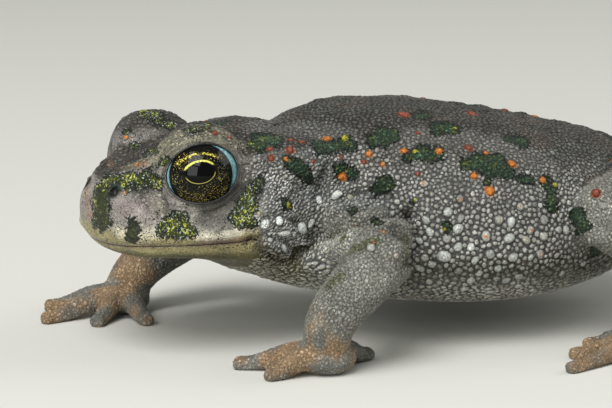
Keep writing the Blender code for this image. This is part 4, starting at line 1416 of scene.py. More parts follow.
def flat_map(skin):
    """A map of the skin's own shape, from a light copy: its triangles' places and map places."""
    bm = bmesh.new()
    bm.from_mesh(skin.data)
    bmesh.ops.triangulate(bm, faces=bm.faces)
    light = object_of("light", bm)
    thin = light.modifiers.new("Thin", "DECIMATE")
    thin.ratio = MAP_TRIANGLES / max(MAP_TRIANGLES, len(light.data.polygons))
    apply_modifiers(light)
    bpy.context.view_layer.objects.active = light
    light.select_set(True)
    bpy.ops.object.mode_set(mode="EDIT")
    bpy.ops.mesh.select_all(action="SELECT")
    bpy.ops.uv.smart_project(angle_limit=math.radians(66), island_margin=PATCH)
    bpy.ops.object.mode_set(mode="OBJECT")
    mesh = light.data
    corners = np.zeros(len(mesh.loops), np.int32)
    mesh.loops.foreach_get("vertex_index", corners)
    flat = np.zeros(len(mesh.loops) * 2, np.float32)
    mesh.uv_layers.active.data.foreach_get("uv", flat)
    places = points_of(mesh)[corners].reshape(-1, 3, 3)
    bpy.data.objects.remove(light)
    return places, flat.reshape(-1, 3, 2)


def map_places(spots, places, flat):
    """Where places on the skin lie on its map."""
    triangles = np.arange(len(places) * 3).reshape(-1, 3)
    tree = BVHTree.FromPolygons(places.reshape(-1, 3).tolist(), triangles.tolist())
    index = np.array([tree.find_nearest(spot)[2] for spot in spots])
    a, b, c = (places[index, i] for i in range(3))
    normal = np.cross(b - a, c - a)
    area = np.maximum((normal * normal).sum(axis=1), 1e-24)
    u = (np.cross(c - b, spots - b) * normal).sum(axis=1) / area
    v = (np.cross(a - c, spots - c) * normal).sum(axis=1) / area
    weights = np.clip(np.column_stack([u, v, 1 - u - v]), 0, 1)
    weights /= weights.sum(axis=1)[:, None]
    return (flat[index] * weights[:, :, None]).sum(axis=1)


def granules(skin, field, chains, warts, rng):
    """The coat of granules and warts as joined meshes, one for each part of the body."""
    corners, weights = sampled(skin.data, CANDIDATES, rng)
    beads = {name: carried(field[name], corners, weights) for name in CARRIED}
    keep = (rng.random(CANDIDATES) > beads["bare"] * 1.1) & (beads["points"][:, 2] > 0.25 * MM)
    beads = rows_of(beads, keep & (beads["socket"] < 0.05) & (beads["crease"] < 0.6))
    count = len(beads["size"])
    factor = rng.uniform(0.62, 1.2, count)
    large = rng.random(count) < LARGE_SHARE * (1 - beads["high"])
    large &= beads["flank"] + 0.5 * beads["belly"] > 0.3
    factor[large] = rng.uniform(1.4, 1.9, large.sum())
    beads["radius"] = beads["size"] * factor
    beads["height"] = 0.4 + 0.22 * beads["flank"] + 0.1 * beads["neck"] - 0.14 * beads["limb"]
    beads["tip"] = np.zeros((count, 4))
    beads["tip"][large] = TIPS["white"]
    beads["tip"][large, 3] = rng.uniform(0.0, 0.6, large.sum())
    nearest = place_tree(field["points"])
    at_vertex = [nearest.find(wart[0])[1] for wart in warts]
    own = {name: field[name][at_vertex] for name in CARRIED}
    own["points"] = np.array([place for place, normal, radius, kind in warts])
    own["normals"] = np.array([normal for place, normal, radius, kind in warts])
    own["radius"] = np.array([radius * BEADS.get(kind, 1.0) for place, normal, radius, kind in warts])
    own["tip"] = np.array([TIPS.get(kind, TIPS["none"]) for place, normal, radius, kind in warts])
    own["height"] = np.full(len(warts), 0.58)
    own["neck"] = own["neck"] * 0.45
    beads = {name: np.concatenate([beads[name], own[name]]) for name in beads}
    beads = rows_of(beads, spread(beads["points"], beads["radius"], count))
    beads["radius"] = grown(beads["points"], beads["radius"])
    beads["normals"] /= np.linalg.norm(beads["normals"], axis=1)[:, None]
    # The feet of the granules darken towards the gap colour: the darker skin between them, with painted
    # shade
    depth = 0.62 - 0.38 * beads["limb"] - 0.14 * beads["high"] - 0.2 * beads["neck"]
    foot = beads["ground"] + (np.array(GAP_COLOUR) - beads["ground"]) * depth[:, None]
    beads["foot"] = np.minimum(foot, GAP_PALEST + (0.2 * beads["limb"] + 0.09 * beads["neck"])[:, None])
    beads["map"] = map_places(beads["points"], *flat_map(skin))
    part = np.where(beads["points"][:, 0] - SHIFT.x > 0, 1, 2)
    on_limb = part + np.where(beads["arm"] > 0.5 * beads["limb"], 3, 5)
    part[beads["belly"] > 0.5] = 3
    part[beads["head"] > 0.5] = 0
    part = np.where(beads["limb"] > 0.5, on_limb, part)
    return [
        coat_piece("granules_" + name, rows_of(beads, part == i), chains, warts, rng)
        for i, name in enumerate(COAT_PIECES)
    ]


def bead_axes(beads, rng):
    """For each granule the way it is drawn out, the way across and the way up."""
    axis = beads["normals"]
    side = np.cross(axis, [0.31, 0.83, 0.46])
    side /= np.linalg.norm(side, axis=1)[:, None]
    spin = rng.uniform(0, math.tau, len(axis))[:, None]
    along = side * np.cos(spin) + np.cross(axis, side) * np.sin(spin)
    lie = np.array(plain_at(*ROW_LIE).normalized()) + rng.normal(0, 0.25, axis.shape)
    lie -= axis * (lie * axis).sum(axis=1)[:, None]
    drawn = beads["neck"][:, None]
    along = along * (1 - drawn) + lie * drawn * 2
    along -= axis * (along * axis).sum(axis=1)[:, None]
    along /= np.linalg.norm(along, axis=1)[:, None]
    return along, np.cross(axis, along), axis


def coat_piece(name, beads, chains, warts, rng):
    """Domes at the beads' places as one mesh, with what their finish reads."""
    order = np.argsort(-beads["radius"])
    beads = rows_of(beads, order)
    ways = bead_axes(beads, rng)
    points, triangles, flat, column = [], [], [], {}
    start = offset = 0
    for sides, rings, smallest in GRADES:
        end = int(np.searchsorted(-beads["radius"], -smallest, side="right"))
        shape, corners, patch = dome(sides, rings)
        some = rows_of(beads, slice(start, end))
        along, across, axis = (way[start:end, None, :] for way in ways)
        count = end - start
        start = end
        turn = np.arctan2(shape[:, 1], shape[:, 0])[None]
        bumpy = 1 + rng.uniform(-0.05, 0.05, (count, len(shape)))
        for lobes in (2, 3, 4):
            swing = rng.uniform(0.0, 0.3 / lobes, count)[:, None]
            bumpy += swing * np.cos(lobes * turn + rng.uniform(0, math.tau, count)[:, None])
        stretch = (rng.uniform(0.86, 1.18, count) + some["neck"] * 0.28)[:, None]
        x = (shape[None, :, 0] * bumpy * stretch)[:, :, None]
        y = (shape[None, :, 1] * bumpy / stretch)[:, :, None]
        z = (shape[None, :, 2] * some["height"][:, None] - 0.08)[:, :, None]
        size = some["radius"][:, None, None] * MM
        offsets = (along * x + across * y + axis * z) * size
        points.append((some["points"][:, None, :] + offsets).reshape(-1, 3))
        rows = np.arange(count)[:, None, None] * len(shape) + offset
        triangles.append((corners[None] + rows).reshape(-1, 3))
        flat.append((some["map"][:, None, None, :] + patch[None] * PATCH / 2).reshape(-1, 2))
        offset += count * len(shape)
        column.setdefault("rise", []).append(np.tile(np.clip(shape[:, 2], 0, 1), count))
        column.setdefault("tone", []).append(np.repeat(rng.random(count), len(shape)))
        for key in ("pale", "freckles", "ground", "foot", "tip"):
            column.setdefault(key, []).append(np.repeat(some[key], len(shape), axis=0))
    points, triangles = np.vstack(points), np.vstack(triangles)
    points[:, 2] = np.maximum(points[:, 2], 0.0)
    mesh = bpy.data.meshes.new(name)
    mesh.vertices.add(len(points))
    mesh.vertices.foreach_set("co", points.astype(np.float32).ravel())
    mesh.loops.add(len(triangles) * 3)
    mesh.loops.foreach_set("vertex_index", triangles.astype(np.int32).ravel())
    mesh.polygons.add(len(triangles))
    mesh.polygons.foreach_set("loop_start", np.arange(0, len(triangles) * 3, 3, dtype=np.int32))
    mesh.update(calc_edges=True)
    bake = mesh.uv_layers.new(name="OFBake")
    bake.data.foreach_set("uv", np.vstack(flat).astype(np.float32).ravel())
    for key, values in column.items():
        give(mesh, key, np.concatenate(values))
    mark_skin(mesh, points, chains, warts)
    mesh.shade_smooth()
    made = bpy.data.objects.new(name, mesh)
    bpy.context.scene.collection.objects.link(made)
    return made


def mark_skin(mesh, points, chains, warts):
    """Blotches and coloured spots, the same on the skin and on the granules."""
    give(mesh, "blotch", blotch_field(points, chains))
    inside, colour = spot_field(points, warts)
    give(mesh, "spot", inside)
    give(mesh, "spot_colour", colour)


class Nodes:
    """Short ways to lay out a node tree."""

    def __init__(self, tree):
        self.tree = tree

    def node(self, kind, inputs=None, **settings):
        made = self.tree.nodes.new(kind)
        for name, value in settings.items():
            setattr(made, name, value)
        for key, value in (inputs or {}).items():
            self.feed(made.inputs[key], value)
        return made

    def feed(self, socket, value):
        if isinstance(value, bpy.types.NodeSocket):
            self.tree.links.new(value, socket)
        else:
            socket.default_value = value

    def calc(self, operation, *values):
        made = self.node("ShaderNodeMath", operation=operation)
        for socket, value in zip(made.inputs, values):
            self.feed(socket, value)
        return made.outputs[0]

    def step(self, value, low, high, start=0.0, end=1.0):
        made = self.node("ShaderNodeMapRange", interpolation_type="SMOOTHSTEP")
        for key, number in (("Value", value), ("From Min", low), ("From Max", high),
                            ("To Min", start), ("To Max", end)):
            self.feed(made.inputs[key], number)
        return made.outputs[0]

    def mix(self, share, a, b, blend="MIX"):
        made = self.node("ShaderNodeMix", data_type="RGBA", blend_type=blend)
        for index, value in ((0, share), (6, a), (7, b)):
            self.feed(made.inputs[index], value)
        return made.outputs[2]

    def noise(self, place, scale, detail=2.0, roughness=0.5):
        made = self.node("ShaderNodeTexNoise", {"Vector": place, "Scale": scale, "Detail": detail,
                                                "Roughness": roughness})
        return made.outputs["Fac"]

    def cells(self, place, scale, feature="F1", randomness=1.0):
        made = self.node("ShaderNodeTexVoronoi", feature=feature)
        for key, value in (("Vector", place), ("Scale", scale), ("Randomness", randomness)):
            self.feed(made.inputs[key], value)
        return made.outputs["Distance"]

    def grey(self, value):
        parts = {"Red": value, "Green": value, "Blue": value}
        return self.node("ShaderNodeCombineColor", parts).outputs[0]

    def read(self, name, output="Fac"):
        return self.node("ShaderNodeAttribute", attribute_name=name).outputs[output]

    def place(self):
        """Object coordinates in millimetres."""
        read = self.node("ShaderNodeTexCoord").outputs["Object"]
        made = self.node("ShaderNodeVectorMath", {0: read}, operation="SCALE")
        made.inputs["Scale"].default_value = 1 / MM
        return made.outputs[0]


def colour4(rgb):
    """A colour with full alpha."""
    return (*rgb, 1.0)


def new_material(name):
    """A material with its node layout and its shader."""
    made = bpy.data.materials.new(name)
    made.use_nodes = True
    return made, Nodes(made.node_tree), made.node_tree.nodes["Principled BSDF"]


def new_group(name, inputs, outputs):
    """A shader node group with named sockets: the group, its node layout and its two ends."""
    group = bpy.data.node_groups.new(name, "ShaderNodeTree")
    for socket_name, kind in inputs:
        group.interface.new_socket(socket_name, in_out="INPUT", socket_type=kind)
    for socket_name, kind in outputs:
        group.interface.new_socket(socket_name, in_out="OUTPUT", socket_type=kind)
    layout = Nodes(group)
    start = layout.node("NodeGroupInput").outputs
    end = layout.node("NodeGroupOutput").inputs
    return group, layout, start, end


# Where the painted glints in the blotches' colour read the noise that the glints of the coat read, shifted
# off it
PAINTED_GLINT_SHIFT = (3.1, 7.7, 1.3)


def skin_marking_group():
    """Mottling, freckles, green blotches with painted glints, and coloured spots over a ground colour."""
    group, n, given, put = new_group(
        "Skin markings",
        (("Place", "NodeSocketVector"), ("Ground", "NodeSocketColor"), ("Blotch", "NodeSocketFloat"),
         ("Spot", "NodeSocketFloat"), ("Spot Colour", "NodeSocketColor"), ("Freckles", "NodeSocketFloat"),
         ("Dull", "NodeSocketFloat")),
        (("Colour", "NodeSocketColor"), ("Glint", "NodeSocketFloat")),
    )
    place, freckles = given["Place"], given["Freckles"]
    mottle = n.step(n.noise(place, 0.55, 4.0, 0.6), 0.3, 0.7, 0.8, 1.2)
    colour = n.mix(1.0, given["Ground"], n.grey(mottle), "MULTIPLY")
    stain = n.calc("MULTIPLY", n.step(n.noise(place, 1.3, 4.0, 0.7), 0.52, 0.68), freckles)
    colour = n.mix(n.calc("MULTIPLY", stain, 0.2), colour, colour4((0.075, 0.058, 0.048)))
    pale = n.step(n.noise(place, 4.2, 3.0, 0.7), 0.56, 0.66)
    pale = n.calc("MULTIPLY_ADD", pale, 0.75, 0.94)
    colour = n.mix(1.0, colour, n.grey(pale), "MULTIPLY")
    dense = n.step(n.noise(place, 0.5, 2.0), 0.35, 0.65, 0.035, -0.03)
    dots = n.step(n.calc("SUBTRACT", n.noise(place, 5.2, 3.0, 0.7), dense), 0.56, 0.61)
    dots = n.calc("MULTIPLY", dots, n.calc("MAXIMUM", freckles, 0.25))
    colour = n.mix(dots, colour, colour4((0.016, 0.014, 0.011)))
    coarse = n.calc("MULTIPLY", n.calc("SUBTRACT", n.noise(place, 0.9, 2.0), 0.5), 1.5)
    fine = n.calc("MULTIPLY", n.calc("SUBTRACT", n.noise(place, 3.6, 3.0, 0.7), 0.5), 1.2)
    inside = n.calc("ADD", n.calc("ADD", given["Blotch"], coarse), fine)
    mask = n.step(inside, -0.12, 0.04)
    sparse = n.step(n.noise(place, 0.8, 2.0), 0.40, 0.62, 0.055, -0.02)
    grains = n.step(n.calc("SUBTRACT", n.noise(place, 4.6, 3.0, 0.75), sparse), 0.535, 0.575)
    patches = n.step(n.noise(place, 1.1, 1.0), 0.38, 0.62)
    middle = n.step(inside, 0.02, 0.5)
    vivid = n.step(freckles, 0.25, 0.6)
    deep = n.mix(patches, colour4((0.008, 0.011, 0.005)), colour4((0.040, 0.052, 0.010)))
    green = n.mix(vivid, colour4((0.018, 0.035, 0.019)), deep)
    green = n.mix(given["Dull"], green, colour4((0.015, 0.021, 0.002)))
    dark = n.mix(middle, colour4((0.004, 0.006, 0.005)), green)
    lively = n.calc("MULTIPLY_ADD", given["Dull"], -0.88, 1.0)
    dim = n.mix(patches, colour4((0.070, 0.160, 0.085)), colour4((0.135, 0.150, 0.025)))
    bright = n.mix(patches, colour4((0.26, 0.33, 0.09)), colour4((0.64, 0.64, 0.07)))
    bright = n.mix(vivid, dim, bright)
    dark = n.mix(n.calc("MULTIPLY", n.calc("MULTIPLY", grains, middle), lively), dark, bright)
    # Painted glints of wet skin in the bright blotches: pale blue-white specks that also stand for the
    # skin's own tiny pale specks
    painted_glint = n.step(n.noise(n.node("ShaderNodeVectorMath", {0: place, 1: PAINTED_GLINT_SHIFT}).outputs[0],
                             4.8, 2.0, 0.6), 0.62, 0.67)
    painted_glint = n.calc("MULTIPLY", n.calc("MULTIPLY", painted_glint, vivid), n.calc("MULTIPLY", lively, 0.75))
    dark = n.mix(painted_glint, dark, colour4((0.62, 0.70, 0.74)))
    colour = n.mix(mask, colour, dark)
    ragged = n.calc("MULTIPLY", n.calc("SUBTRACT", n.noise(place, 3.0, 3.0, 0.65), 0.5), 0.7)
    spot = n.step(n.calc("ADD", given["Spot"], ragged), -0.02, 0.12)
    shade = n.step(n.noise(place, 5.0, 2.0, 0.7), 0.35, 0.65, 0.55, 1.25)
    hue = n.mix(1.0, given["Spot Colour"], n.grey(shade), "MULTIPLY")
    golden = n.step(n.noise(place, 4.0, 2.0, 0.6), 0.52, 0.62, 0.0, 0.6)
    hue = n.mix(golden, hue, n.mix(1.0, hue, colour4((1.35, 2.0, 1.6)), "MULTIPLY"))
    colour = n.mix(spot, colour, hue)
    glint = n.step(n.noise(place, 4.6, 2.0, 0.6), 0.63, 0.68)
    n.feed(put["Colour"], colour)
    n.feed(put["Glint"], glint)
    return group


def marked(n, marking, place, ground):
    """The skin's markings laid over a ground colour in a material."""
    marks = n.node("ShaderNodeGroup", node_tree=marking)
    for name, value in (
        ("Place", place), ("Ground", ground), ("Blotch", n.read("blotch")), ("Spot", n.read("spot")),
        ("Spot Colour", n.read("spot_colour", "Color")), ("Freckles", n.read("freckles")),
        ("Dull", n.read("dull")),
    ):
        n.feed(marks.inputs[name], value)
    return marks.outputs


def skin_material(marking):
    """The skin itself: ground colours, furrows between granules with darker skin and painted shade in them,
    freckles and blotches.
    """
    made, n, shader = new_material("toad_skin")
    place, pebble, moist, freckles = n.place(), n.read("pebble"), n.read("moist"), n.read("freckles")
    # Fine raised cells: the furrows between them are darker, partly painted shade, and lower in the bump
    furrow = n.cells(place, 2.6, "DISTANCE_TO_EDGE")
    small = n.cells(place, 5.5, "DISTANCE_TO_EDGE")
    raised = n.calc("ADD", n.step(furrow, 0.0, 0.22, 0.0, 0.7), n.step(small, 0.0, 0.2, 0.0, 0.3))
    dark = n.calc("MULTIPLY", n.calc("SUBTRACT", 1.0, raised), n.calc("MULTIPLY", pebble, 0.65))
    ground = n.mix(dark, n.read("ground", "Color"), colour4((0.045, 0.043, 0.036)))
    # Wrinkles of the lids: painted shade in their furrows, and a dent in the bump
    wrinkle = n.noise(n.read("lid_way", "Vector"), 1.0, 3.0, 0.6)
    creased = n.calc("MULTIPLY", n.read("lid"), n.step(wrinkle, 0.42, 0.6))
    ground = n.mix(n.calc("MULTIPLY", creased, 0.55), ground, colour4((0.020, 0.020, 0.018)))
    marks = marked(n, marking, place, ground)
    n.feed(shader.inputs["Base Color"], marks["Colour"])
    rough = n.step(n.noise(place, 3.0, 3.0), 0.3, 0.7, 0.34, 0.6)
    wet = n.calc("MAXIMUM", n.calc("MULTIPLY", marks["Glint"], freckles), moist)
    n.feed(shader.inputs["Roughness"], n.calc("MULTIPLY", rough, n.calc("MULTIPLY_ADD", wet, -0.6, 1.0)))
    n.feed(shader.inputs["Coat Weight"], n.calc("MAXIMUM", n.calc("MULTIPLY", freckles, 0.05), wet))
    shader.inputs["Coat Roughness"].default_value = 0.12
    shader.inputs["Specular IOR Level"].default_value = 0.3
    height = n.calc("MULTIPLY", raised, n.calc("ADD", n.calc("MULTIPLY", pebble, 0.7), 0.3))
    height = n.calc("ADD", height, n.calc("MULTIPLY", n.noise(place, 4.0, 4.0, 0.75), 1.3))
    height = n.calc("SUBTRACT", height, n.calc("MULTIPLY", creased, 0.8))
    bump = n.node("ShaderNodeBump", {"Height": height, "Strength": 1.0, "Distance": 0.17 * MM})
    n.feed(shader.inputs["Normal"], bump.outputs["Normal"])
    return made


def granule_material(marking):
    """Granules and warts: dark at the foot, partly with painted shade, pale on top, some with a coloured
    tip.
    """
    made, n, shader = new_material("toad_granules")
    place = n.place()
    rise, tone, pale = n.read("rise"), n.read("tone"), n.read("pale")
    grain = n.calc("MULTIPLY", n.calc("SUBTRACT", n.noise(place, 4.5, 3.0, 0.65), 0.5), 0.9)
    ragged = n.calc("ADD", rise, grain)
    shade = n.calc("MULTIPLY_ADD", tone, 0.6, 0.68)
    shade = n.calc("MULTIPLY", shade, n.step(n.noise(place, 5.5, 3.0, 0.7), 0.35, 0.65, 0.72, 1.28))
    lighter = n.mix(n.calc("MULTIPLY", pale, 0.62), n.read("ground", "Color"), colour4((0.42, 0.42, 0.375)))
    top = n.mix(n.read("tip", "Alpha"), lighter, n.read("tip", "Color"))
    top = n.mix(1.0, top, n.grey(shade), "MULTIPLY")
    # Dark at the foot, partly painted shade, and pale on top
    ground = n.mix(n.step(ragged, 0.2, 0.95), n.read("foot", "Color"), top)
    marks = marked(n, marking, place, ground)
    n.feed(shader.inputs["Base Color"], marks["Colour"])
    n.feed(shader.inputs["Roughness"], n.step(n.noise(place, 3.0, 3.0), 0.3, 0.7, 0.36, 0.6))
    n.feed(shader.inputs["Coat Weight"], n.calc("MULTIPLY_ADD", marks["Glint"], 0.6, 0.04))
    shader.inputs["Coat Roughness"].default_value = 0.2
    shader.inputs["Specular IOR Level"].default_value = 0.3
    height = n.noise(place, 7.0, 3.0, 0.65)
    bump = n.node("ShaderNodeBump", {"Height": height, "Strength": 0.9, "Distance": 0.16 * MM})
    n.feed(shader.inputs["Normal"], bump.outputs["Normal"])
    return made


# The eye's marks, in millimetres towards the snout and up from its middle
PUPIL = (1.40, 0.99)
PUPIL_CENTRE = (0.40, 0.20)
IRIS_CENTRE = (0.22, -0.12)
IRIS_RADIUS = 3.08


def eye_material():
    """A black iris with a wide pupil, a bright yellow arc over it and gold flecks."""
    made, n, shader = new_material("toad_eye")
    place = n.read("gaze", "Vector")
    gaze = n.node("ShaderNodeSeparateXYZ", {0: place}).outputs
    a = n.calc("SUBTRACT", gaze[0], PUPIL_CENTRE[0])
    b = n.calc("SUBTRACT", gaze[1], PUPIL_CENTRE[1])

    def oval(x, y, half_x, half_y):
        x, y = n.calc("DIVIDE", x, half_x), n.calc("DIVIDE", y, half_y)
        return n.calc("SQRT", n.calc("ADD", n.calc("MULTIPLY", x, x), n.calc("MULTIPLY", y, y)))

    def band(value, start, end, soft):
        return n.calc("MULTIPLY", n.step(value, start, start + soft), n.step(value, end, end - soft))

    ring = oval(a, b, *PUPIL)
    iris = oval(n.calc("SUBTRACT", gaze[0], IRIS_CENTRE[0]), n.calc("SUBTRACT", gaze[1], IRIS_CENTRE[1]),
                IRIS_RADIUS, IRIS_RADIUS)
    wobble = n.calc("MULTIPLY", n.calc("SUBTRACT", n.noise(place, 3.0, 3.0, 0.6), 0.5), 0.14)
    rough_ring = n.calc("ADD", ring, wobble)
    fine = n.noise(place, 7.2, 4.0, 0.75)
    zone = n.step(ring, 1.15, 1.4)
    dense = n.step(n.noise(place, 1.0, 2.0, 0.5), 0.35, 0.65, 0.06, 0.0)
    # No flecks at the top of the iris: painted shade of the upper lid, which also stands for the lid's dark
    # inner edge
    zone = n.calc("MULTIPLY", zone, n.step(b, 2.3, 2.1))
    fleck = n.calc("MULTIPLY", n.step(n.calc("SUBTRACT", fine, dense), 0.57, 0.60), zone)
    colour = n.mix(fleck, colour4((0.004, 0.004, 0.004)), colour4((0.40, 0.35, 0.10)))
    amber = n.step(n.calc("ADD", n.calc("MULTIPLY", a, 0.6), n.calc("MULTIPLY", b, 0.5)), 1.0, 2.0)
    amber = n.calc("MULTIPLY", n.calc("MULTIPLY", amber, zone), n.step(fine, 0.57, 0.605))
    amber = n.calc("MULTIPLY", amber, n.step(b, 0.7, 1.5))
    colour = n.mix(amber, colour, colour4((0.68, 0.47, 0.07)))
    low_gold = n.step(b, -1.35, -2.2)
    low_gold = n.calc("MULTIPLY", n.calc("MULTIPLY", low_gold, zone), n.step(fine, 0.565, 0.605))
    colour = n.mix(low_gold, colour, colour4((0.42, 0.32, 0.07)))
    # the second, broken arc over the pupil
    broken = n.step(n.noise(place, 5.0, 3.0, 0.7), 0.47, 0.56)
    arc = band(rough_ring, 1.70, 2.02, 0.06)
    arc = n.calc("MULTIPLY", arc, n.calc("MULTIPLY", n.step(b, 1.0, 1.35), broken))
    colour = n.mix(n.calc("MULTIPLY", arc, 0.95), colour, colour4((0.66, 0.58, 0.09)))
    # the bright arc and the thin line below
    edge = n.calc("MULTIPLY", band(rough_ring, 1.0, 1.25, 0.06), n.step(b, 0.42, 0.7))
    worn = n.step(n.noise(place, 6.0, 3.0, 0.7), 0.38, 0.55, 0.45, 1.0)
    colour = n.mix(n.calc("MULTIPLY", edge, worn), colour, colour4((0.72, 0.70, 0.15)))
    line = n.calc("MULTIPLY", band(ring, 1.0, 1.09, 0.03), n.step(b, -0.1, -0.4))
    colour = n.mix(n.calc("MULTIPLY", line, 0.75), colour, colour4((0.50, 0.44, 0.09)))
    colour = n.mix(n.step(ring, 1.02, 0.97), colour, colour4((0.001, 0.001, 0.001)))
    # the dark border of the iris, and the pale blue of the eye behind it
    colour = n.mix(n.step(iris, 0.95, 0.98), colour, colour4((0.004, 0.005, 0.006)))
    streaks = n.step(n.noise(place, 2.5, 3.0, 0.7), 0.3, 0.6, 0.35, 1.0)
    blue = n.calc("MULTIPLY", n.step(iris, 1.015, 1.06), streaks)
    blue = n.calc("MULTIPLY", blue, n.step(b, -2.6, -1.2))
    colour = n.mix(blue, colour, colour4((0.21, 0.42, 0.45)))
    n.feed(shader.inputs["Base Color"], colour)
    shader.inputs["Roughness"].default_value = 0.5
    shader.inputs["Specular IOR Level"].default_value = 0.0
    shader.inputs["Coat Weight"].default_value = 0.45
    shader.inputs["Coat Roughness"].default_value = 0.02
    shader.inputs["Coat IOR"].default_value = 1.38
    return made


def rim_material():
    """The moist dark edge of the lids."""
    made, n, shader = new_material("toad_lid_edge")
    place = n.place()
    tint = n.step(n.noise(place, 2.5, 2.0), 0.4, 0.7)
    colour = n.mix(tint, colour4((0.005, 0.006, 0.007)), colour4((0.022, 0.025, 0.024)))
    n.feed(shader.inputs["Base Color"], colour)
    shader.inputs["Roughness"].default_value = 0.35
    shader.inputs["Specular IOR Level"].default_value = 0.25
    shader.inputs["Coat Weight"].default_value = 0.2
    shader.inputs["Coat Roughness"].default_value = 0.08
    return made


# How far the eyeball swells in front, and the rim of the lids that lies on it, in millimetres
CORNEA_SWELL = 0.22
RIM_RADIUS = 0.13
RIM_HEIGHT = 0.09
RIM_POINTS = 48


def eyeball(sign, name):
    """The eyeball, slightly swollen in front, with the directions of the eye as an attribute."""
    centre, outward, along, rise = eye_axes(sign)
    bm = bmesh.new()
    bmesh.ops.create_uvsphere(bm, u_segments=96, v_segments=64, radius=1.0)
    turn = Matrix((along, rise, outward)).transposed()
    seen_from = []
    for vertex in bm.verts:
        unit = vertex.co.normalized()
        swell = CORNEA_SWELL * max(0.0, (unit.z - 0.7) / 0.3) ** 2
        seen_from.append(unit * EYE_RADIUS)
        vertex.co = centre + turn @ unit * (EYE_RADIUS + swell) * MM
    bmesh.ops.recalc_face_normals(bm, faces=bm.faces)
    made = object_of(name, bm)
    give_ways(made.data, "gaze", seen_from)
    made.data.shade_smooth()
    return made


def lid_edge(sign, name):
    """The thin moist rim that lies on the eyeball round the opening."""
    points = lid_ring(sign, RIM_POINTS, EYE_RADIUS + RIM_HEIGHT, 0.0, 0.0)
    made = object_of(name, tube(points, [RIM_RADIUS] * len(points), in_scene, ring=True, sides=4))
    made.data.shade_smooth()
    return made


FLOOR_COLOUR = (0.60, 0.595, 0.55)


def add_floor():
    """A plain pale floor."""
    bm = bmesh.new()
    bmesh.ops.create_grid(bm, x_segments=1, y_segments=1, size=4.0)
    floor = object_of("floor", bm)
    made, _, shader = new_material("floor")
    shader.inputs["Base Color"].default_value = colour4(FLOOR_COLOUR)
    shader.inputs["Roughness"].default_value = 0.9
    floor.data.materials.append(made)


LIGHTS = (
    # name, direction from the toad in view terms (right, up, towards the camera), distance, size, watts
    ("key", (-0.35, 1.0, 0.75), 0.9, 0.6, 8.3),
    ("front", (-0.5, 0.15, 1.0), 0.9, 0.5, 3.9),
    ("rear", (1.0, 0.7, -0.3), 0.9, 0.5, 2.0),
)
WORLD = (0.86, 0.88, 0.86)
WORLD_STRENGTH = 0.4


def add_lights():
    """Plain soft studio light from large panels, and a pale surrounding."""
    right, up, ahead_of = view_axes()
    middle = at(-25, 0, 12)
    for name, aim, distance, size, power in LIGHTS:
        way = (right * aim[0] + Vector((0, 0, 1)) * aim[1] - ahead_of * aim[2]).normalized()
        data = bpy.data.lights.new(name, "AREA")
        data.energy = power
        data.size = size
        lamp = bpy.data.objects.new(name, data)
        lamp.location = middle + way * distance
        lamp.rotation_euler = way.to_track_quat("Z", "Y").to_euler()
        bpy.context.scene.collection.objects.link(lamp)
    bpy.context.scene.view_settings.view_transform = "Standard"
    world = bpy.data.worlds.new("studio")
    world.use_nodes = True
    back = world.node_tree.nodes["Background"]
    back.inputs["Color"].default_value = colour4(WORLD)
    back.inputs["Strength"].default_value = WORLD_STRENGTH
    bpy.context.scene.world = world


def outlying(skin):
    """How far each vertex lies within the sockets and openings, where no granule grows."""
    points = points_of(skin.data)
    inner = np.zeros(len(points))
    for sign in (1, -1):
        reach, ring, rise, along, outer = eye_view(points, sign)
        within = (reach < EYE_RADIUS + 0.35) | ((ring < 1.06) & outer & (reach < 7))
        inner = np.maximum(inner, within * 1.0)
    return inner


def line_of_mouth(points):
    """How near each vertex is to the line of the mouth."""
    forward, left, up = head_terms(points)
    level = np.interp(forward, *zip(*sorted(MOUTH_LINE)))
    return np.exp(-(((up - level) / 0.3) ** 2)) * (forward > MOUTH_LINE[-1][0])


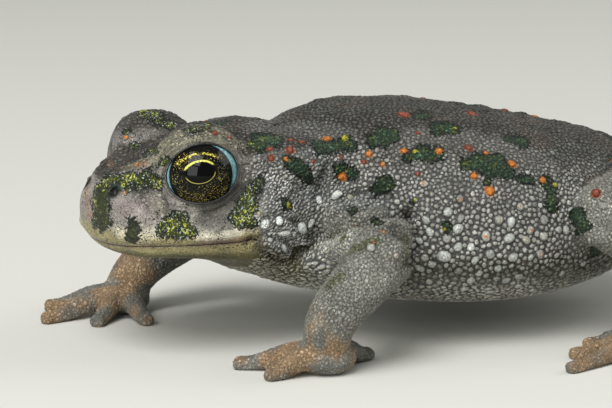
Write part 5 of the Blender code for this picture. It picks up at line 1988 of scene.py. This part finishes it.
def finish_field(skin, tree, field, fold_shade_lines):
    """Adds the narrow places to the regions: tints, lids, mouth, folds and nostrils."""
    points = field["points"]
    tint(tree, field)
    mouth = line_of_mouth(points) * field["head"]
    ground = mixed(field["ground"], "mouth", mouth * 0.65)
    lid, lid_way = np.zeros(len(points)), np.zeros((len(points), 3))
    pit = np.zeros(len(points))
    for sign in (1, -1):
        reach, ring, rise, along, outer = eye_view(points, sign)
        close = outer * (reach < 7)
        # Painted shade round each eye, strongest under the lower lid, in the lid colour
        below = ramp(rise, -0.2, -0.6) * ramp(along, 0.75, 0.2)
        shade = ramp(ring, 1.42, 1.2) * close * (0.1 + 0.85 * below)
        ground = mixed(ground, "lid", shade)
        lid = np.maximum(lid, ramp(ring, 1.6, 1.3) * close)
        way = np.column_stack([ring * 11, np.arctan2(rise, along) * 1.6, np.full(len(points), sign)])
        lid_way = np.where((ring < 2.2)[:, None], way, lid_way)
        # Painted shade in the nostrils: near black round each nostril's hole
        away = np.linalg.norm(points - np.array(nostril_place(tree, sign)), axis=1) / MM
        pit = np.maximum(pit, ramp(away, NOSTRIL_RADIUS * 2.1, NOSTRIL_RADIUS * 1.15))
    # Painted shade in the folds: the skin darkens towards the fold colour and the granules there are made
    # less pale
    field["crease"] = crease_depth(points, fold_shade_lines) * (1 - field["face"])
    ground = mixed(ground, "fold", field["crease"] * 0.9)
    field["pale"] = field["pale"] * (1 - 0.9 * field["crease"])
    field["socket"] = np.maximum(field["socket"], pit > 0.02)
    field["ground"] = mixed(ground, "pit", pit)
    field["lid"], field["lid_way"] = lid * (1 - pit), lid_way
    field["moist"] = np.clip(0.3 * pit + 0.5 * mouth, 0, 1)
    pebble = 1 - 0.85 * field["cheek"] - 0.6 * field["top"] - 0.6 * field["digit"]
    field["pebble"] = np.clip(pebble, 0, 1)
    field["freckles"] = field["freckles"] * (1 - pit)
    field["dull"] = np.zeros(len(points))
    for pixels in DULL_BLOTCHES:
        for side in both_sides(tree, pixels):
            gap = chain_gap(points, side, [0.7 * MM] * len(side)) / MM
            field["dull"] = np.maximum(field["dull"], ramp(gap, 0.7, 0.0))


def main():
    add_camera()
    rng = np.random.default_rng(SEED)
    skin = fused_skin()
    rest = tree_of(skin)
    # The lines of the folds, for their painted shade
    fold_shade_lines = []
    for pixels, width, depth in FOLDS:
        fold_shade_lines += [(side, width * 1.15) for side in both_sides(rest, pixels)]
    fold_skin(skin, rng)
    open_skin(skin)
    thin_skin(skin)
    tree = tree_of(skin)
    field = regions(skin)
    field["socket"] = outlying(skin)
    finish_field(skin, rest, field, fold_shade_lines)
    chains = blotch_chains(tree, field, rng)
    warts = wart_places(tree, field, rng)
    mesh = skin.data
    # The skin between granules is kept dark: its darker colour, with painted shade between the granules
    palest = GAP_PALEST + (0.2 * field["limb"] + 0.06 * field["neck"])[:, None]
    gaps = np.minimum(field["ground"], palest)
    gaps = field["ground"] + (gaps - field["ground"]) * field["pebble"][:, None]
    give_ways(mesh, "lid_way", field["lid_way"])
    give(mesh, "ground", gaps)
    for name in ("pebble", "freckles", "dull", "moist", "lid"):
        give(mesh, name, field[name])
    mark_skin(mesh, field["points"], chains, warts)
    mesh.shade_smooth()
    marking = skin_marking_group()
    mesh.materials.clear()
    mesh.materials.append(skin_material(marking))
    flesh = [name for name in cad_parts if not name.startswith("eye_")]
    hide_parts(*flesh)
    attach(skin, "root")
    grains = granule_material(marking)
    for piece in granules(skin, field, chains, warts, rng):
        piece.data.materials.append(grains)
        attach(piece, "root")
    looks, edge = eye_material(), rim_material()
    for side, sign in (("left", 1), ("right", -1)):
        eye = eyeball(sign, "eyeball_" + side)
        eye.data.materials.append(looks)
        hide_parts("eye_" + side)
        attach(eye, "root")
        rim = lid_edge(sign, "lid_edge_" + side)
        rim.data.materials.append(edge)
        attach(rim, "root")
    add_floor()
    add_lights()


main()
